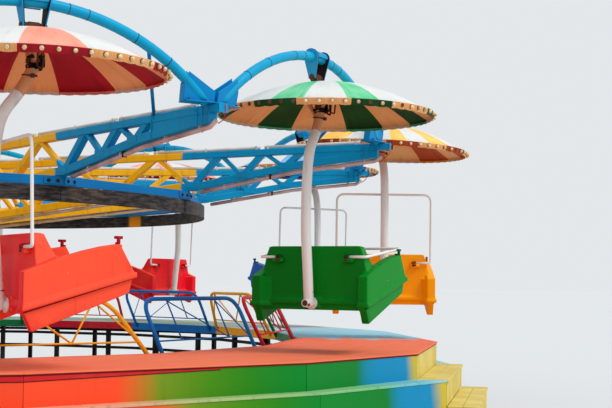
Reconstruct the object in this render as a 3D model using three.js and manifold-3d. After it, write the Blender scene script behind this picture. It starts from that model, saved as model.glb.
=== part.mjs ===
// Chair swing ride: a twelve-armed carousel whose covered double seats hang from arches.
// Millimetres, +Z up, origin on the ground under the middle of the carousel.

import * as THREE from 'three';
import { mergeVertices } from 'three/addons/utils/BufferGeometryUtils.js';
import Module from 'manifold-3d';

const wasm = await Module();
wasm.setup();

// Driving dimensions

const BAYS = 12;
const BAY_ANGLE = 2 * Math.PI / BAYS;
const FIRST_GIRDER_ANGLE = THREE.MathUtils.degToRad(-64.7);
const FIRST_SEAT_ANGLE = FIRST_GIRDER_ANGLE - BAY_ANGLE / 2;
const SEAT_GAP = 0.3;

// Girders: the bottom chord falls from the ring in to the hub, and rises from the ring out to the tip.
const TIP_RADIUS = 6200;
const TIP_TOP = 3104;
const TOP_SLOPE = 0.0362;
const GIRDER_WIDTH = 90;
const GIRDER_END = 6330;
const TOP_CHORD_DEPTH = 70;
const BOTTOM_CHORD_DEPTH = 80;
const STEEP_STRUT = 75;
const SHALLOW_STRUT = 45;
const FALL_START = 3960;
const FALL_SLOPE = 0.14;
const RISE_START = 4150;
const RISE_SLOPE = 0.2;
const LOW_KNEE = 5300;
const KNEE_SLOPE = 0.125;
const TOP_NODES = [900, 1740, 2700, 3707, 4452, 4940, 5379];
const BOTTOM_NODES = [1256, 2216, 3176, 4137, 4707, 5178];

const PEDESTAL_TOP = 1990;
const HUB_APOTHEM = 520;
const HUB_FLANGE_RADIUS = 620;
const HUB_TOP = 3110;
const RING_CORNER_RADIUS = 4104;
const RING_TOP = 2610;
const BAND_BOTTOM = 2515;
const RING_WIDTH = 110;
const HOOP_BOTTOM = 2370;

const ARCH_TUBE_RADIUS = 44;
const ARCH_APEX_RADIUS = 6100;
const ARCH_APEX_HEIGHT = 3745;
const ARCH_HALF_SPAN = 1528;
const ARCHES_PER_GROUP = 4;
const SADDLE_THICKNESS = 12;
const SADDLE_TOP = TIP_TOP + SEAT_GAP + SADDLE_THICKNESS;
const SADDLE_HALF_LENGTH = 290;
const CHEEK_LENGTH = 197;
const BRACE_RADIUS = 5430;
const BRACE_ALONG_ARCH = 975;
const BRACE_TUBE_RADIUS = 16;
const PIN_HEIGHT = 3560;
const PIN_RADIUS = 14;
const HANGER_TOP = ARCH_APEX_HEIGHT + 62;
const HANGER_HALF_LENGTH = 75;
const LUG_FOOT_HALF_LENGTH = 38;
const LUG_TOP_Y = 125;
const LUG_FOOT_Y = 88;
const LUG_THICKNESS = 12;
const EYE_HALF_WIDTH = 49.7;
const COLLAR_RADIUS = 26;

const CANOPY_RADIUS = 1015;
const CANOPY_GORES = 14;
const CANOPY_TOP = 3515;
const CANOPY_RIM = 3205;
const CANOPY_SHEET = 10;
const VALANCE_DEPTH = 40;
const VALANCE_LEAN = 16;

// How far each canopy stands forward and outward of its pin. The second one has slipped on its fork.
const CANOPY_OFFSET = { forward: 0, outward: 60 };
const SLIPPED_OFFSET = { forward: 60, outward: 75 };
const SLIPPED_CANOPY_NUMBER = 2;

// The tub hangs a little outside its pin, and the pole bends out and back to carry it.
const SEAT_OUTWARD = 70;
const POLE_RADIUS = 46;
const POLE_PATH = [[0, 0, 3470], [15, 40, 3250], [-123, 65, 3022], [-245, SEAT_OUTWARD, 2870],
  [-285, SEAT_OUTWARD, 2700], [-303, SEAT_OUTWARD, 2450], [-306, SEAT_OUTWARD, 2100],
  [-262, SEAT_OUTWARD, 1740], [-232, SEAT_OUTWARD, 1443]];
const STUB_HEIGHT = 1443;
const STUB_RADIUS = 34;
const STUB_END = -310;

const TUB_REAR = -150;
const TUB_BOSS_DEPTH = 22;
const TUB_TOP = 1967;
const TUB_HALF_WIDTH = 615;
const TUB_INNER_HALF_WIDTH = 505;

const BAR_RADIUS = 13;
const BAR_HALF_WIDTH = 550;
const BAR_LENGTH = 795;
const BAR_PIVOT = { x: -175, z: 1866 };
const BAR_RAISED_ANGLE = THREE.MathUtils.degToRad(91.8);
const BAR_LOWERED_ANGLE = THREE.MathUtils.degToRad(7.05);
const BAR_BRACKET_Y = 372;
const LOWERED_SEAT_NUMBER = 2;

const DECK_BAYS = 18;
const DECK_BAY_ANGLE = 2 * Math.PI / DECK_BAYS;
const FIRST_DECK_CORNER = THREE.MathUtils.degToRad(-41.5);
const DECK_TOP = 980;
const DECK_THICKNESS = 25;
const DECK_INNER_RADIUS = 5200;
const DECK_OUTER_RADIUS = 6720;
const DECK_SECTIONS = 2;
const RAILING_SECTIONS = 3;
const FIRST_SECTION_CORNER = 3;
const RISER = 245;
const TREAD = 280;
const LEDGE_TOP = DECK_TOP - RISER;
const LEDGE_DEPTH = 150;
const PANEL_THICKNESS = 25;
const EDGE_BEAM = 85;
const EDGE_STRIP_DEPTH = 105;
const POST_WIDTH = 60;
const POST_SHARES = [0.25, 0.75];
const UNDER_RAILS = [570, 770];
const UNDER_RAIL_DEPTH = 40;

// The bays at the back have no fascia, ledge or skirt.
const FIRST_OPEN_BAY = 2;
const LAST_OPEN_BAY = 8;
const RAIL_HEIGHT = 480;
const RAIL_LEAN = 280;
const RAIL_FOOT_DEPTH = 60;
const RAIL_TUBE_RADIUS = 20;

// The corners of the deck beside the stairs stand off the regular outline.
const STAIR_CORNERS = {
  [-1]: { angle: THREE.MathUtils.degToRad(-59.8), radius: 6787 },
  0: { angle: THREE.MathUtils.degToRad(-45), radius: 6930 },
  1: { angle: THREE.MathUtils.degToRad(-25.5), radius: 6770 },
};

// Materials

function paint(colour, roughness = 0.5, metalness = 0.1) {
  return new THREE.MeshStandardMaterial({ color: colour, roughness, metalness });
}

const BLUE_PAINT = paint(0x0a74b8);
const YELLOW_PAINT = paint(0xf5b40f);
const BAR_WHITE = paint(0xe6e2dc);
const DECK_RED = paint(0xe8704c, 0.7, 0);
const STAIR_YELLOW = paint(0xe8d77c, 0.7, 0);
const RAILING_PAINT = paint(0x1f6fb4, 0.5, 0.1);
const STEEL_GREY = paint(0x4c4f52, 0.6, 0.4);
const TUB_PAINTS = [0xe8321f, 0x0b7a1c, 0xf79c12, 0x1560b8].map((colour) => paint(colour, 0.4, 0));
const CANOPY_PAINTS = [0xf0654f, 0x2f9c5c, 0xf5b73c, 0x4a8fd0].map((colour) => paint(colour, 0.5, 0));

// Solids

function toSolid(geometry) {
  const plain = geometry.clone();
  plain.deleteAttribute('normal');
  plain.deleteAttribute('uv');
  const merged = mergeVertices(plain, 1e-3);
  return new wasm.Manifold(new wasm.Mesh({
    numProp: 3,
    vertProperties: new Float32Array(merged.attributes.position.array),
    triVerts: new Uint32Array(merged.index.array),
  }));
}

function toGeometry(solid) {
  const mesh = solid.getMesh();
  const geometry = new THREE.BufferGeometry();
  geometry.setAttribute('position', new THREE.BufferAttribute(new Float32Array(mesh.vertProperties), 3));
  geometry.setIndex(new THREE.BufferAttribute(new Uint32Array(mesh.triVerts), 1));
  geometry.computeVertexNormals();
  return geometry;
}

function join(geometries) {
  return geometries.map(toSolid).reduce((whole, piece) => whole.add(piece));
}

function block(x0, x1, y0, y1, z0, z1) {
  const geometry = new THREE.BoxGeometry(x1 - x0, y1 - y0, z1 - z0);
  return geometry.translate((x0 + x1) / 2, (y0 + y1) / 2, (z0 + z1) / 2);
}

// A straight round bar with `sides` flats between two points.
function rod(from, to, radius, sides = 8) {
  const axis = new THREE.Vector3().subVectors(to, from);
  const geometry = new THREE.CylinderGeometry(radius, radius, axis.length(), sides);
  const turn = new THREE.Quaternion().setFromUnitVectors(new THREE.Vector3(0, 1, 0), axis.clone().normalize());
  geometry.applyQuaternion(turn);
  const middle = new THREE.Vector3().addVectors(from, to).multiplyScalar(0.5);
  return geometry.translate(middle.x, middle.y, middle.z);
}

// A tube with mitred bends along points that lie in one plane, whose normal is given.
function tube(points, radius, sides, normal) {
  const place = [];
  points.forEach((spot, i) => {
    const start = Math.max(i - 1, 0);
    const end = Math.min(i + 1, points.length - 1);
    const arriving = points[Math.max(i, 1)].clone().sub(points[start]).normalize();
    const leaving = points[end].clone().sub(points[Math.min(i, points.length - 2)]).normalize();
    const mean = arriving.clone().add(leaving).normalize();
    const across = new THREE.Vector3().crossVectors(normal, mean);
    const stretch = 1 / mean.dot(leaving);
    for (let k = 0; k < sides; k += 1) {
      const angle = 2 * Math.PI * (k + 0.5) / sides;
      const corner = spot.clone().addScaledVector(across, radius * stretch * Math.cos(angle));
      place.push(...corner.addScaledVector(normal, radius * Math.sin(angle)).toArray());
    }
  });
  const faces = [];
  for (let k = 0; k < sides; k += 1) {
    const next = (k + 1) % sides;
    for (let ring = 0; ring < points.length - 1; ring += 1) {
      const low = ring * sides;
      const high = low + sides;
      faces.push(low + k, low + next, high + next, low + k, high + next, high + k);
    }
    const last = (points.length - 1) * sides;
    if (k > 0 && k < sides - 1) faces.push(last, last + k, last + next, 0, next, k);
  }
  const geometry = new THREE.BufferGeometry();
  geometry.setAttribute('position', new THREE.Float32BufferAttribute(place, 3));
  return geometry.setIndex(faces);
}

// A plate with an outline in the X-Z plane, between two Y values.
function sidePlate(outline, y0, y1) {
  const shape = new THREE.Shape(outline.map(([x, z]) => new THREE.Vector2(x, z)));
  const geometry = new THREE.ExtrudeGeometry(shape, { depth: y1 - y0, bevelEnabled: false });
  return geometry.rotateX(Math.PI / 2).translate(0, y1, 0);
}

// A plate with an outline in the Y-Z plane, between two X values.
function crossPlate(outline, x0, x1) {
  const shape = new THREE.Shape(outline.map(([y, z]) => new THREE.Vector2(y, z)));
  const geometry = new THREE.ExtrudeGeometry(shape, { depth: x1 - x0, bevelEnabled: false });
  return geometry.rotateX(Math.PI / 2).rotateZ(Math.PI / 2).translate(x0, 0, 0);
}

// A plate with an outline in the X-Y plane, between two heights.
function floorPlate(outline, z0, z1) {
  const shape = new THREE.Shape(outline);
  const geometry = new THREE.ExtrudeGeometry(shape, { depth: z1 - z0, bevelEnabled: false });
  return geometry.translate(0, 0, z0);
}

function turned(profile, segments, startAngle = 0) {
  const points = profile.map(([radius, height]) => new THREE.Vector2(radius, height));
  const geometry = new THREE.LatheGeometry(points, segments, startAngle);
  return geometry.rotateX(Math.PI / 2);
}

function point(x, y, z) {
  return new THREE.Vector3(x, y, z);
}

function polar(radius, angle) {
  return new THREE.Vector2(radius * Math.cos(angle), radius * Math.sin(angle));
}

function addPart(parent, name, solid, material) {
  const mesh = new THREE.Mesh(toGeometry(solid), material);
  mesh.name = name;
  parent.add(mesh);
  return mesh;
}

// Lattice girder, in its own frame with X outward from the hub

function topEdge(radius) {
  return TIP_TOP - (TIP_RADIUS - radius) * TOP_SLOPE;
}

function lowEdge(radius) {
  const level = RING_TOP + SEAT_GAP;
  if (radius <= FALL_START) return level - (FALL_START - radius) * FALL_SLOPE;
  if (radius <= RISE_START) return level;
  if (radius <= LOW_KNEE) return level + (radius - RISE_START) * RISE_SLOPE;
  return level + (LOW_KNEE - RISE_START) * RISE_SLOPE + (radius - LOW_KNEE) * KNEE_SLOPE;
}

// The triangle inside three points, each side moved inward by its own distance.
function insetTriangle(corners, distances) {
  const lines = corners.map((from, i) => {
    const along = corners[(i + 1) % 3].clone().sub(from).normalize();
    const inward = new THREE.Vector2(-along.y, along.x);
    return { along, from: from.clone().addScaledVector(inward, distances[i]) };
  });
  return lines.map((line, i) => {
    const other = lines[(i + 2) % 3];
    const gap = other.from.clone().sub(line.from);
    const distance = gap.cross(other.along) / line.along.cross(other.along);
    return line.from.clone().addScaledVector(line.along, distance);
  });
}

// The lattice side in the X-Z plane: its outline, with a triangular opening between the struts.
function girder() {
  const inner = HUB_APOTHEM + SEAT_GAP;
  const lowRadii = [inner, FALL_START, RISE_START, LOW_KNEE, TIP_RADIUS];
  const lowLine = lowRadii.map((radius) => [radius, lowEdge(radius)]);
  const capLow = TIP_TOP - TOP_CHORD_DEPTH;
  const cap = [[TIP_RADIUS, capLow], [GIRDER_END, capLow], [GIRDER_END, TIP_TOP], [TIP_RADIUS, TIP_TOP]];
  const outline = [...lowLine, ...cap, [inner, topEdge(inner)]];
  const tops = TOP_NODES.map((x) => new THREE.Vector2(x, topEdge(x) - TOP_CHORD_DEPTH));
  const bottoms = BOTTOM_NODES.map((x) => new THREE.Vector2(x, lowEdge(x) + BOTTOM_CHORD_DEPTH));
  const openings = [];
  bottoms.forEach((low, i) => {
    openings.push(insetTriangle([low, tops[i + 1], tops[i]], [STEEP_STRUT / 2, 0, SHALLOW_STRUT / 2]));
    if (i === bottoms.length - 1) return;
    openings.push(insetTriangle([low, bottoms[i + 1], tops[i + 1]], [0, SHALLOW_STRUT / 2, STEEP_STRUT / 2]));
  });
  const half = GIRDER_WIDTH / 2;
  const outlines = openings.map((corners) => corners.map(({ x, y }) => [x, y]));
  const cuts = outlines.map((corners) => toSolid(sidePlate(corners, -half - 5, half + 5)));
  return cuts.reduce((whole, cut) => whole.subtract(cut), toSolid(sidePlate(outline, -half, half)));
}

// Drive ring: a twelve-cornered band carrying a round hoop

function driveRing() {
  const bandOuter = RING_CORNER_RADIUS;
  const bandInner = bandOuter - RING_WIDTH;
  const hoopOuter = RING_CORNER_RADIUS - 30;
  const hoopSides = 24;
  const band = turned([[bandInner, BAND_BOTTOM], [bandOuter, BAND_BOTTOM], [bandOuter, RING_TOP],
    [bandInner, RING_TOP], [bandInner, BAND_BOTTOM]], BAYS, Math.PI / 2);
  band.rotateZ(FIRST_GIRDER_ANGLE);
  const hoop = turned([[hoopOuter - 12, HOOP_BOTTOM], [hoopOuter, HOOP_BOTTOM], [hoopOuter, BAND_BOTTOM + 20],
    [hoopOuter - 12, BAND_BOTTOM + 20], [hoopOuter - 12, HOOP_BOTTOM]], hoopSides, Math.PI / 2);
  hoop.rotateZ(FIRST_GIRDER_ANGLE);
  return join([band, hoop]);
}

// Hub and pedestal

function slewingHub() {
  const corner = HUB_APOTHEM / Math.cos(Math.PI / BAYS);
  const base = PEDESTAL_TOP + SEAT_GAP;
  const drum = turned([[0, base], [HUB_FLANGE_RADIUS, base], [HUB_FLANGE_RADIUS, base + 50],
    [corner, base + 51], [corner, topEdge(HUB_APOTHEM) + 40], [180, HUB_TOP], [0, HUB_TOP]], BAYS, Math.PI / 2);
  drum.rotateZ(FIRST_GIRDER_ANGLE + BAY_ANGLE / 2);
  return toSolid(drum);
}

// The column on its base plate, and four ground beams that run out to posts of the platform.
function pedestal() {
  const column = turned([[0, 0], [1250, 0], [1250, 60], [380, 61], [380, PEDESTAL_TOP - 140],
    [600, PEDESTAL_TOP - 80], [600, PEDESTAL_TOP], [0, PEDESTAL_TOP]], 16);
  const pieces = [column];
  for (const [bay, side] of [[0, 0], [4, 1], [9, 0], [13, 1]]) {
    const post = postSpot(bay, POST_SHARES[side]);
    const beam = block(300, post.length() - POST_WIDTH / 2 - SEAT_GAP, -100, 100, 0, 200);
    pieces.push(beam.rotateZ(Math.atan2(post.y, post.x)));
  }
  return join(pieces);
}

// Arches, in the frame of their bay with X outward through the apex

function archPoint(along) {
  const footRadius = TIP_RADIUS * Math.cos(BAY_ANGLE / 2);
  const lean = new THREE.Vector2(ARCH_APEX_RADIUS - footRadius, ARCH_APEX_HEIGHT - SADDLE_TOP);
  const sag = lean.length();
  const bend = (ARCH_HALF_SPAN ** 2 + sag ** 2) / (2 * sag);
  const rise = (Math.sqrt(bend ** 2 - along ** 2) - (bend - sag)) / sag;
  return point(footRadius + lean.x * rise, along, SADDLE_TOP + lean.y * rise);
}

function archTube() {
  const reach = ARCH_HALF_SPAN + 40;
  const count = 8;
  const points = [];
  for (let i = 0; i <= count; i += 1) {
    points.push(archPoint(-reach + 2 * reach * i / count));
  }
  const lean = archPoint(0).sub(archPoint(ARCH_HALF_SPAN).setY(0));
  return tube(points, ARCH_TUBE_RADIUS, 6, lean.cross(point(0, 1, 0)).normalize());
}

// A cap over the top of the arch and two lugs that lean in to the swing pin, with a collar beside each lug.
function hanger() {
  const low = PIN_HEIGHT - 18;
  const cap = crossPlate([[-LUG_TOP_Y, HANGER_TOP - 16], [LUG_TOP_Y, HANGER_TOP - 16], [LUG_TOP_Y, HANGER_TOP],
    [-LUG_TOP_Y, HANGER_TOP]], ARCH_APEX_RADIUS - HANGER_HALF_LENGTH, ARCH_APEX_RADIUS + HANGER_HALF_LENGTH);
  const pin = rod(point(ARCH_APEX_RADIUS, -LUG_FOOT_Y - 12, PIN_HEIGHT),
    point(ARCH_APEX_RADIUS, LUG_FOOT_Y + 12, PIN_HEIGHT), PIN_RADIUS, 6);
  const pieces = [cap, pin];
  for (const side of [-1, 1]) {
    const foot = [side * (LUG_FOOT_Y - LUG_THICKNESS), side * LUG_FOOT_Y];
    const head = [side * (LUG_TOP_Y - LUG_THICKNESS), side * LUG_TOP_Y];
    pieces.push(lug(foot, head, low));
    const inner = point(ARCH_APEX_RADIUS, side * (EYE_HALF_WIDTH + SEAT_GAP), PIN_HEIGHT);
    pieces.push(rod(inner, point(ARCH_APEX_RADIUS, side * (LUG_FOOT_Y - 4), PIN_HEIGHT), COLLAR_RADIUS, 6));
  }
  return pieces;
}

// A tapered plate between the cap and the pin: wide at its head, narrow at its foot.
function lug(foot, head, low) {
  const long = HANGER_HALF_LENGTH;
  const short = LUG_FOOT_HALF_LENGTH;
  const outline = [[-short, low], [short, low], [long, HANGER_TOP - 4], [-long, HANGER_TOP - 4]];
  const [y0, y1] = [...foot].sort((a, b) => a - b);
  const plate = sidePlate(outline.map(([x, z]) => [x + ARCH_APEX_RADIUS, z]), y0, y1);
  const lean = (head[0] - foot[0]) / (HANGER_TOP - low);
  const shear = new THREE.Matrix4().set(1, 0, 0, 0, 0, 1, lean, -lean * low, 0, 0, 1, 0, 0, 0, 0, 1);
  return plate.applyMatrix4(shear);
}

// The pair of cheek plates beside one foot of an arch, leaning with the arch.
function cheeks(side) {
  const footRadius = TIP_RADIUS * Math.cos(BAY_ANGLE / 2);
  const lean = Math.atan2(ARCH_APEX_RADIUS - footRadius, ARCH_APEX_HEIGHT - SADDLE_TOP);
  const reach = ARCH_HALF_SPAN - 25;
  const near = reach - CHEEK_LENGTH;
  const outline = [[reach, -25], [near, -25], [near, 145], [near + 37, 243]];
  return [-1, 1].map((face) => {
    const middle = face * (ARCH_TUBE_RADIUS + 9);
    const plate = crossPlate(outline.map(([y, z]) => [side * y, z]), middle - 5, middle + 5);
    return plate.rotateY(lean).translate(footRadius, 0, SADDLE_TOP);
  });
}

// The saddle on a girder tip, in the girder's frame, with the cheeks of both arches that meet there.
function saddle() {
  const half = BAY_ANGLE / 2;
  const reach = SADDLE_HALF_LENGTH;
  const plate = block(TIP_RADIUS - 160, TIP_RADIUS + 80, -reach, reach, TIP_TOP + SEAT_GAP, SADDLE_TOP);
  const ahead = cheeks(-1).map((cheek) => cheek.rotateZ(half));
  const behind = cheeks(1).map((cheek) => cheek.rotateZ(-half));
  const below = toSolid(block(5000, 7000, -900, 900, 2900, TIP_TOP + SEAT_GAP));
  return join([plate, ...ahead, ...behind]).subtract(below);
}

// A short strut from the girder's top up to the arch.
function brace() {
  const half = BAY_ANGLE / 2;
  const foot = polar(BRACE_RADIUS, half);
  const start = point(foot.x, foot.y - 20, topEdge(BRACE_RADIUS) - 40);
  const bar = toSolid(rod(start, archPoint(BRACE_ALONG_ARCH), BRACE_TUBE_RADIUS, 6));
  const girderSpace = block(5200, 5800, -200, 200, 2500, topEdge(BRACE_RADIUS + 25) + SEAT_GAP);
  return bar.subtract(toSolid(girderSpace.rotateZ(half)));
}

function archGroup(first, count) {
  const trim = toSolid(block(5000, 7000, -2500, 2500, 0, SADDLE_TOP - 4));
  const farTrim = toSolid(block(5000, 7000, 1200, 2500, 0, SADDLE_TOP + SEAT_GAP));
  const halfBay = 180 / BAYS;
  const pieces = [];
  for (let i = 0; i < count; i += 1) {
    const turn = THREE.MathUtils.radToDeg(FIRST_SEAT_ANGLE + (first + i) * BAY_ANGLE);
    let arch = toSolid(archTube()).subtract(trim);
    if (i === count - 1) arch = arch.subtract(farTrim);
    arch = arch.add(join(hanger())).add(brace());
    pieces.push(arch.rotate([0, 0, turn]), saddle().rotate([0, 0, turn - halfBay]));
  }
  return pieces.reduce((whole, piece) => whole.add(piece));
}

// Canopy and pole of a seat, in the seat's frame with X forward and heights above the ground

function canopy(offset) {
  const rim = CANOPY_RIM;
  const hem = CANOPY_RADIUS - VALANCE_LEAN;
  const profile = [[0, CANOPY_TOP - CANOPY_SHEET], [590, CANOPY_TOP - 128],
    [hem - CANOPY_SHEET, rim - VALANCE_DEPTH], [hem, rim - VALANCE_DEPTH], [CANOPY_RADIUS, rim],
    [600, CANOPY_TOP - 116], [0, CANOPY_TOP]];
  return turned(profile, CANOPY_GORES).translate(offset.forward, -offset.outward, 0);
}

function canopyAndPole(offset) {
  const bends = POLE_PATH.map(([forward, outward, height]) => point(forward, -outward, height));
  const pole = tube(bends, POLE_RADIUS, 6, point(0, 1, 0));
  const boss = TUB_REAR - TUB_BOSS_DEPTH - SEAT_GAP;
  const stub = rod(point(STUB_END, -SEAT_OUTWARD, STUB_HEIGHT), point(boss, -SEAT_OUTWARD, STUB_HEIGHT),
    STUB_RADIUS, 6);
  const eye = block(-EYE_HALF_WIDTH, EYE_HALF_WIDTH, -28, 28, CANOPY_TOP - 60, PIN_HEIGHT + 28);
  const bore = rod(point(-60, 0, PIN_HEIGHT), point(60, 0, PIN_HEIGHT), PIN_RADIUS + 2.2, 6);
  return join([canopy(offset), pole, stub, eye]).subtract(toSolid(bore));
}

// Tub of a seat: two side walls, bench and back

function tub() {
  const wall = [[-255, 1690], [-250, 1410], [-180, 1275], [560, 1535], [600, 1670], [470, 1900]];
  const front = TUB_REAR + 65;
  const bench = [[TUB_REAR, 1380], [520, 1600], [520, 1640], [front, 1425], [front, 1500], [TUB_REAR, 1500]];
  const back = [[-540, 1400], [540, 1400], [540, 1760], [507, 1888], [470, TUB_TOP], [-470, TUB_TOP],
    [-507, 1888], [-540, 1760]];
  const pieces = [sidePlate(bench, -TUB_INNER_HALF_WIDTH, TUB_INNER_HALF_WIDTH)];
  pieces.push(crossPlate(back, TUB_REAR, front));
  const boss = [[-75, 1390], [75, 1390], [75, 1500], [-75, 1500]];
  pieces.push(crossPlate(boss, TUB_REAR - TUB_BOSS_DEPTH, TUB_REAR + 10));
  for (const side of [-1, 1]) {
    const [y0, y1] = [TUB_INNER_HALF_WIDTH - 5, TUB_HALF_WIDTH].map((y) => side * y).sort((a, b) => a - b);
    pieces.push(sidePlate(wall, y0, y1));
    pieces.push(block(445, 490, side * 560 - 22, side * 560 + 22, 1870, 1920));
    pieces.push(block(BAR_PIVOT.x - 24, TUB_REAR + 5, side * BAR_BRACKET_Y - 8, side * BAR_BRACKET_Y + 8,
      BAR_PIVOT.z - 24, BAR_PIVOT.z + 24));
  }
  return join(pieces).translate([0, -SEAT_OUTWARD, 0]);
}

// Lap bar: a hoop whose ends hook inward through the brackets on the back

function lapBar(raised) {
  const angle = raised ? BAR_RAISED_ANGLE : BAR_LOWERED_ANGLE;
  const corner = 90;
  const along = (distance, y) => {
    return point(distance * Math.cos(angle) + BAR_PIVOT.x, y, distance * Math.sin(angle) + BAR_PIVOT.z);
  };
  const end = BAR_BRACKET_Y + 8 + SEAT_GAP;
  const reach = BAR_LENGTH - corner;
  const side = (sign) => [along(0, sign * end), along(0, sign * (BAR_HALF_WIDTH - 30)),
    along(30, sign * BAR_HALF_WIDTH), along(reach, sign * BAR_HALF_WIDTH),
    along(BAR_LENGTH - 25, sign * (BAR_HALF_WIDTH - 25)), along(BAR_LENGTH, sign * (BAR_HALF_WIDTH - corner))];
  const normal = point(-Math.sin(angle), 0, Math.cos(angle));
  const bar = tube([...side(-1), ...side(1).reverse()], BAR_RADIUS, 6, normal);
  return toSolid(bar.translate(0, -SEAT_OUTWARD, 0));
}

// Platform: deck, skirts and posts of a section of the ring, and the railings along its inner edge

function deckCorner(index, inner = false) {
  const place = ((index + 1) % DECK_BAYS + DECK_BAYS) % DECK_BAYS - 1;
  const moved = STAIR_CORNERS[place];
  if (moved && !inner) return polar(moved.radius, moved.angle);
  return polar(inner ? DECK_INNER_RADIUS : DECK_OUTER_RADIUS, FIRST_DECK_CORNER + index * DECK_BAY_ANGLE);
}

// The outer outline moved outward by a distance.
function outset(corner, distance) {
  return corner.clone().setLength(corner.length() + distance);
}

function strip(first, bays, place, depth, z0, z1) {
  const outline = [];
  for (let i = 0; i <= bays; i += 1) outline.push(place(first + i));
  for (let i = bays; i >= 0; i -= 1) outline.push(outset(place(first + i), -depth));
  return floorPlate(outline, z0, z1);
}

// The narrow gap at each end of a section.
function seamed(solid, first, bays) {
  const seams = [first, first + bays].map((index) => {
    const cut = block(4800, 7200, -SEAT_GAP / 2, SEAT_GAP / 2, -10, DECK_TOP + 10);
    return toSolid(cut.rotateZ(FIRST_DECK_CORNER + index * DECK_BAY_ANGLE));
  });
  return seams.reduce((whole, seam) => whole.subtract(seam), solid);
}

// A railing leans in over the pit, with its feet on the strip along the deck's inner edge.
function railing(index) {
  const left = deckCorner(index, true);
  const right = deckCorner(index + 1, true);
  const along = new THREE.Vector2().subVectors(right, left).normalize();
  const inward = new THREE.Vector2(-along.y, along.x);
  const foot = DECK_TOP - RAIL_FOOT_DEPTH;
  const top = DECK_TOP + RAIL_HEIGHT;
  const slope = RAIL_LEAN / (top - foot);
  const place = (corner, shift, height) => {
    const lean = RAIL_TUBE_RADIUS + 3 + (height - foot) * slope;
    const spot = corner.clone().addScaledVector(along, shift).addScaledVector(inward, lean);
    return point(spot.x, spot.y, height);
  };
  const route = [place(left, 130, foot), place(left, 130, top - 90), place(left, 220, top),
    place(right, -220, top), place(right, -130, top - 90), place(right, -130, foot)];
  const normal = point(inward.x * slope, inward.y * slope, 1).cross(point(along.x, along.y, 0)).normalize();
  return tube(route, RAIL_TUBE_RADIUS, 6, normal);
}

function railingSection(first, bays) {
  const edge = (index) => outset(deckCorner(index, true), -SEAT_GAP);
  const pieces = [strip(first, bays, edge, PANEL_THICKNESS, DECK_TOP - EDGE_STRIP_DEPTH, DECK_TOP)];
  for (let i = 0; i < bays; i += 1) pieces.push(railing(first + i));
  return seamed(join(pieces), first, bays);
}

// Where a post stands under the deck's inner or outer edge, at a share of the way along a bay.
function postSpot(index, share, inner = true) {
  const spot = deckCorner(index, inner).lerp(deckCorner(index + 1, inner), share);
  return outset(spot, inner ? 60 : -60);
}

function leg(spot, z1) {
  const half = POST_WIDTH / 2;
  const post = block(-half, half, -half, half, 0, z1);
  return post.rotateZ(Math.atan2(spot.y, spot.x)).translate(spot.x, spot.y, 0);
}

function isStairBay(index) {
  return index % DECK_BAYS === 0;
}

function isOpenBay(index) {
  const place = index % DECK_BAYS;
  return place >= FIRST_OPEN_BAY && place <= LAST_OPEN_BAY;
}

// The runs of neighbouring bays that fit a rule, as pairs of first bay and number of bays.
function runs(first, bays, fits) {
  const found = [];
  for (let index = first; index < first + bays; index += 1) {
    if (!fits(index)) continue;
    if (index > first && fits(index - 1)) found[found.length - 1][1] += 1;
    else found.push([index, 1]);
  }
  return found;
}

function deckSection(first, bays) {
  const outer = (index) => deckCorner(index);
  const inner = (index) => deckCorner(index, true);
  const innerBack = (index) => outset(deckCorner(index, true), PANEL_THICKNESS);
  const ledgeEdge = (index) => outset(deckCorner(index), LEDGE_DEPTH);
  const outline = [];
  for (let i = 0; i <= bays; i += 1) outline.push(outer(first + i));
  for (let i = bays; i >= 0; i -= 1) outline.push(inner(first + i));
  const under = DECK_TOP - DECK_THICKNESS;
  const pieces = [floorPlate(outline, under, DECK_TOP)];
  pieces.push(strip(first, bays, innerBack, PANEL_THICKNESS, under - EDGE_BEAM, under + 5));
  for (const [start, count] of runs(first, bays, (index) => !isOpenBay(index))) {
    pieces.push(strip(start, count, outer, PANEL_THICKNESS, LEDGE_TOP - 20, under + 5));
  }
  for (const [start, count] of runs(first, bays, (index) => !isOpenBay(index) && !isStairBay(index))) {
    pieces.push(strip(start, count, ledgeEdge, LEDGE_DEPTH + PANEL_THICKNESS, LEDGE_TOP - 25, LEDGE_TOP));
    pieces.push(strip(start, count, ledgeEdge, PANEL_THICKNESS, 0, LEDGE_TOP - 20));
  }
  const railTop = (z) => z + UNDER_RAIL_DEPTH;
  for (const [start, count] of runs(first, bays, isOpenBay)) {
    pieces.push(strip(start, count, outer, PANEL_THICKNESS, under - EDGE_BEAM, under + 5));
    const z = UNDER_RAILS[1];
    pieces.push(strip(start, count, (index) => outset(outer(index), -45), UNDER_RAIL_DEPTH, z, railTop(z)));
  }
  for (let i = 0; i < bays; i += 1) {
    const index = first + i;
    pieces.push(...POST_SHARES.map((share) => leg(postSpot(index, share), under + 5)));
    if (!isOpenBay(index)) continue;
    pieces.push(...POST_SHARES.map((share) => leg(postSpot(index, share, false), under + 5)));
  }
  for (const z of UNDER_RAILS) {
    pieces.push(strip(first, bays, (index) => outset(inner(index), 75), UNDER_RAIL_DEPTH, z, railTop(z)));
  }
  return seamed(join(pieces), first, bays);
}

// Stairs: three treads with closed fronts and sides below the deck's wide bay

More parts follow.
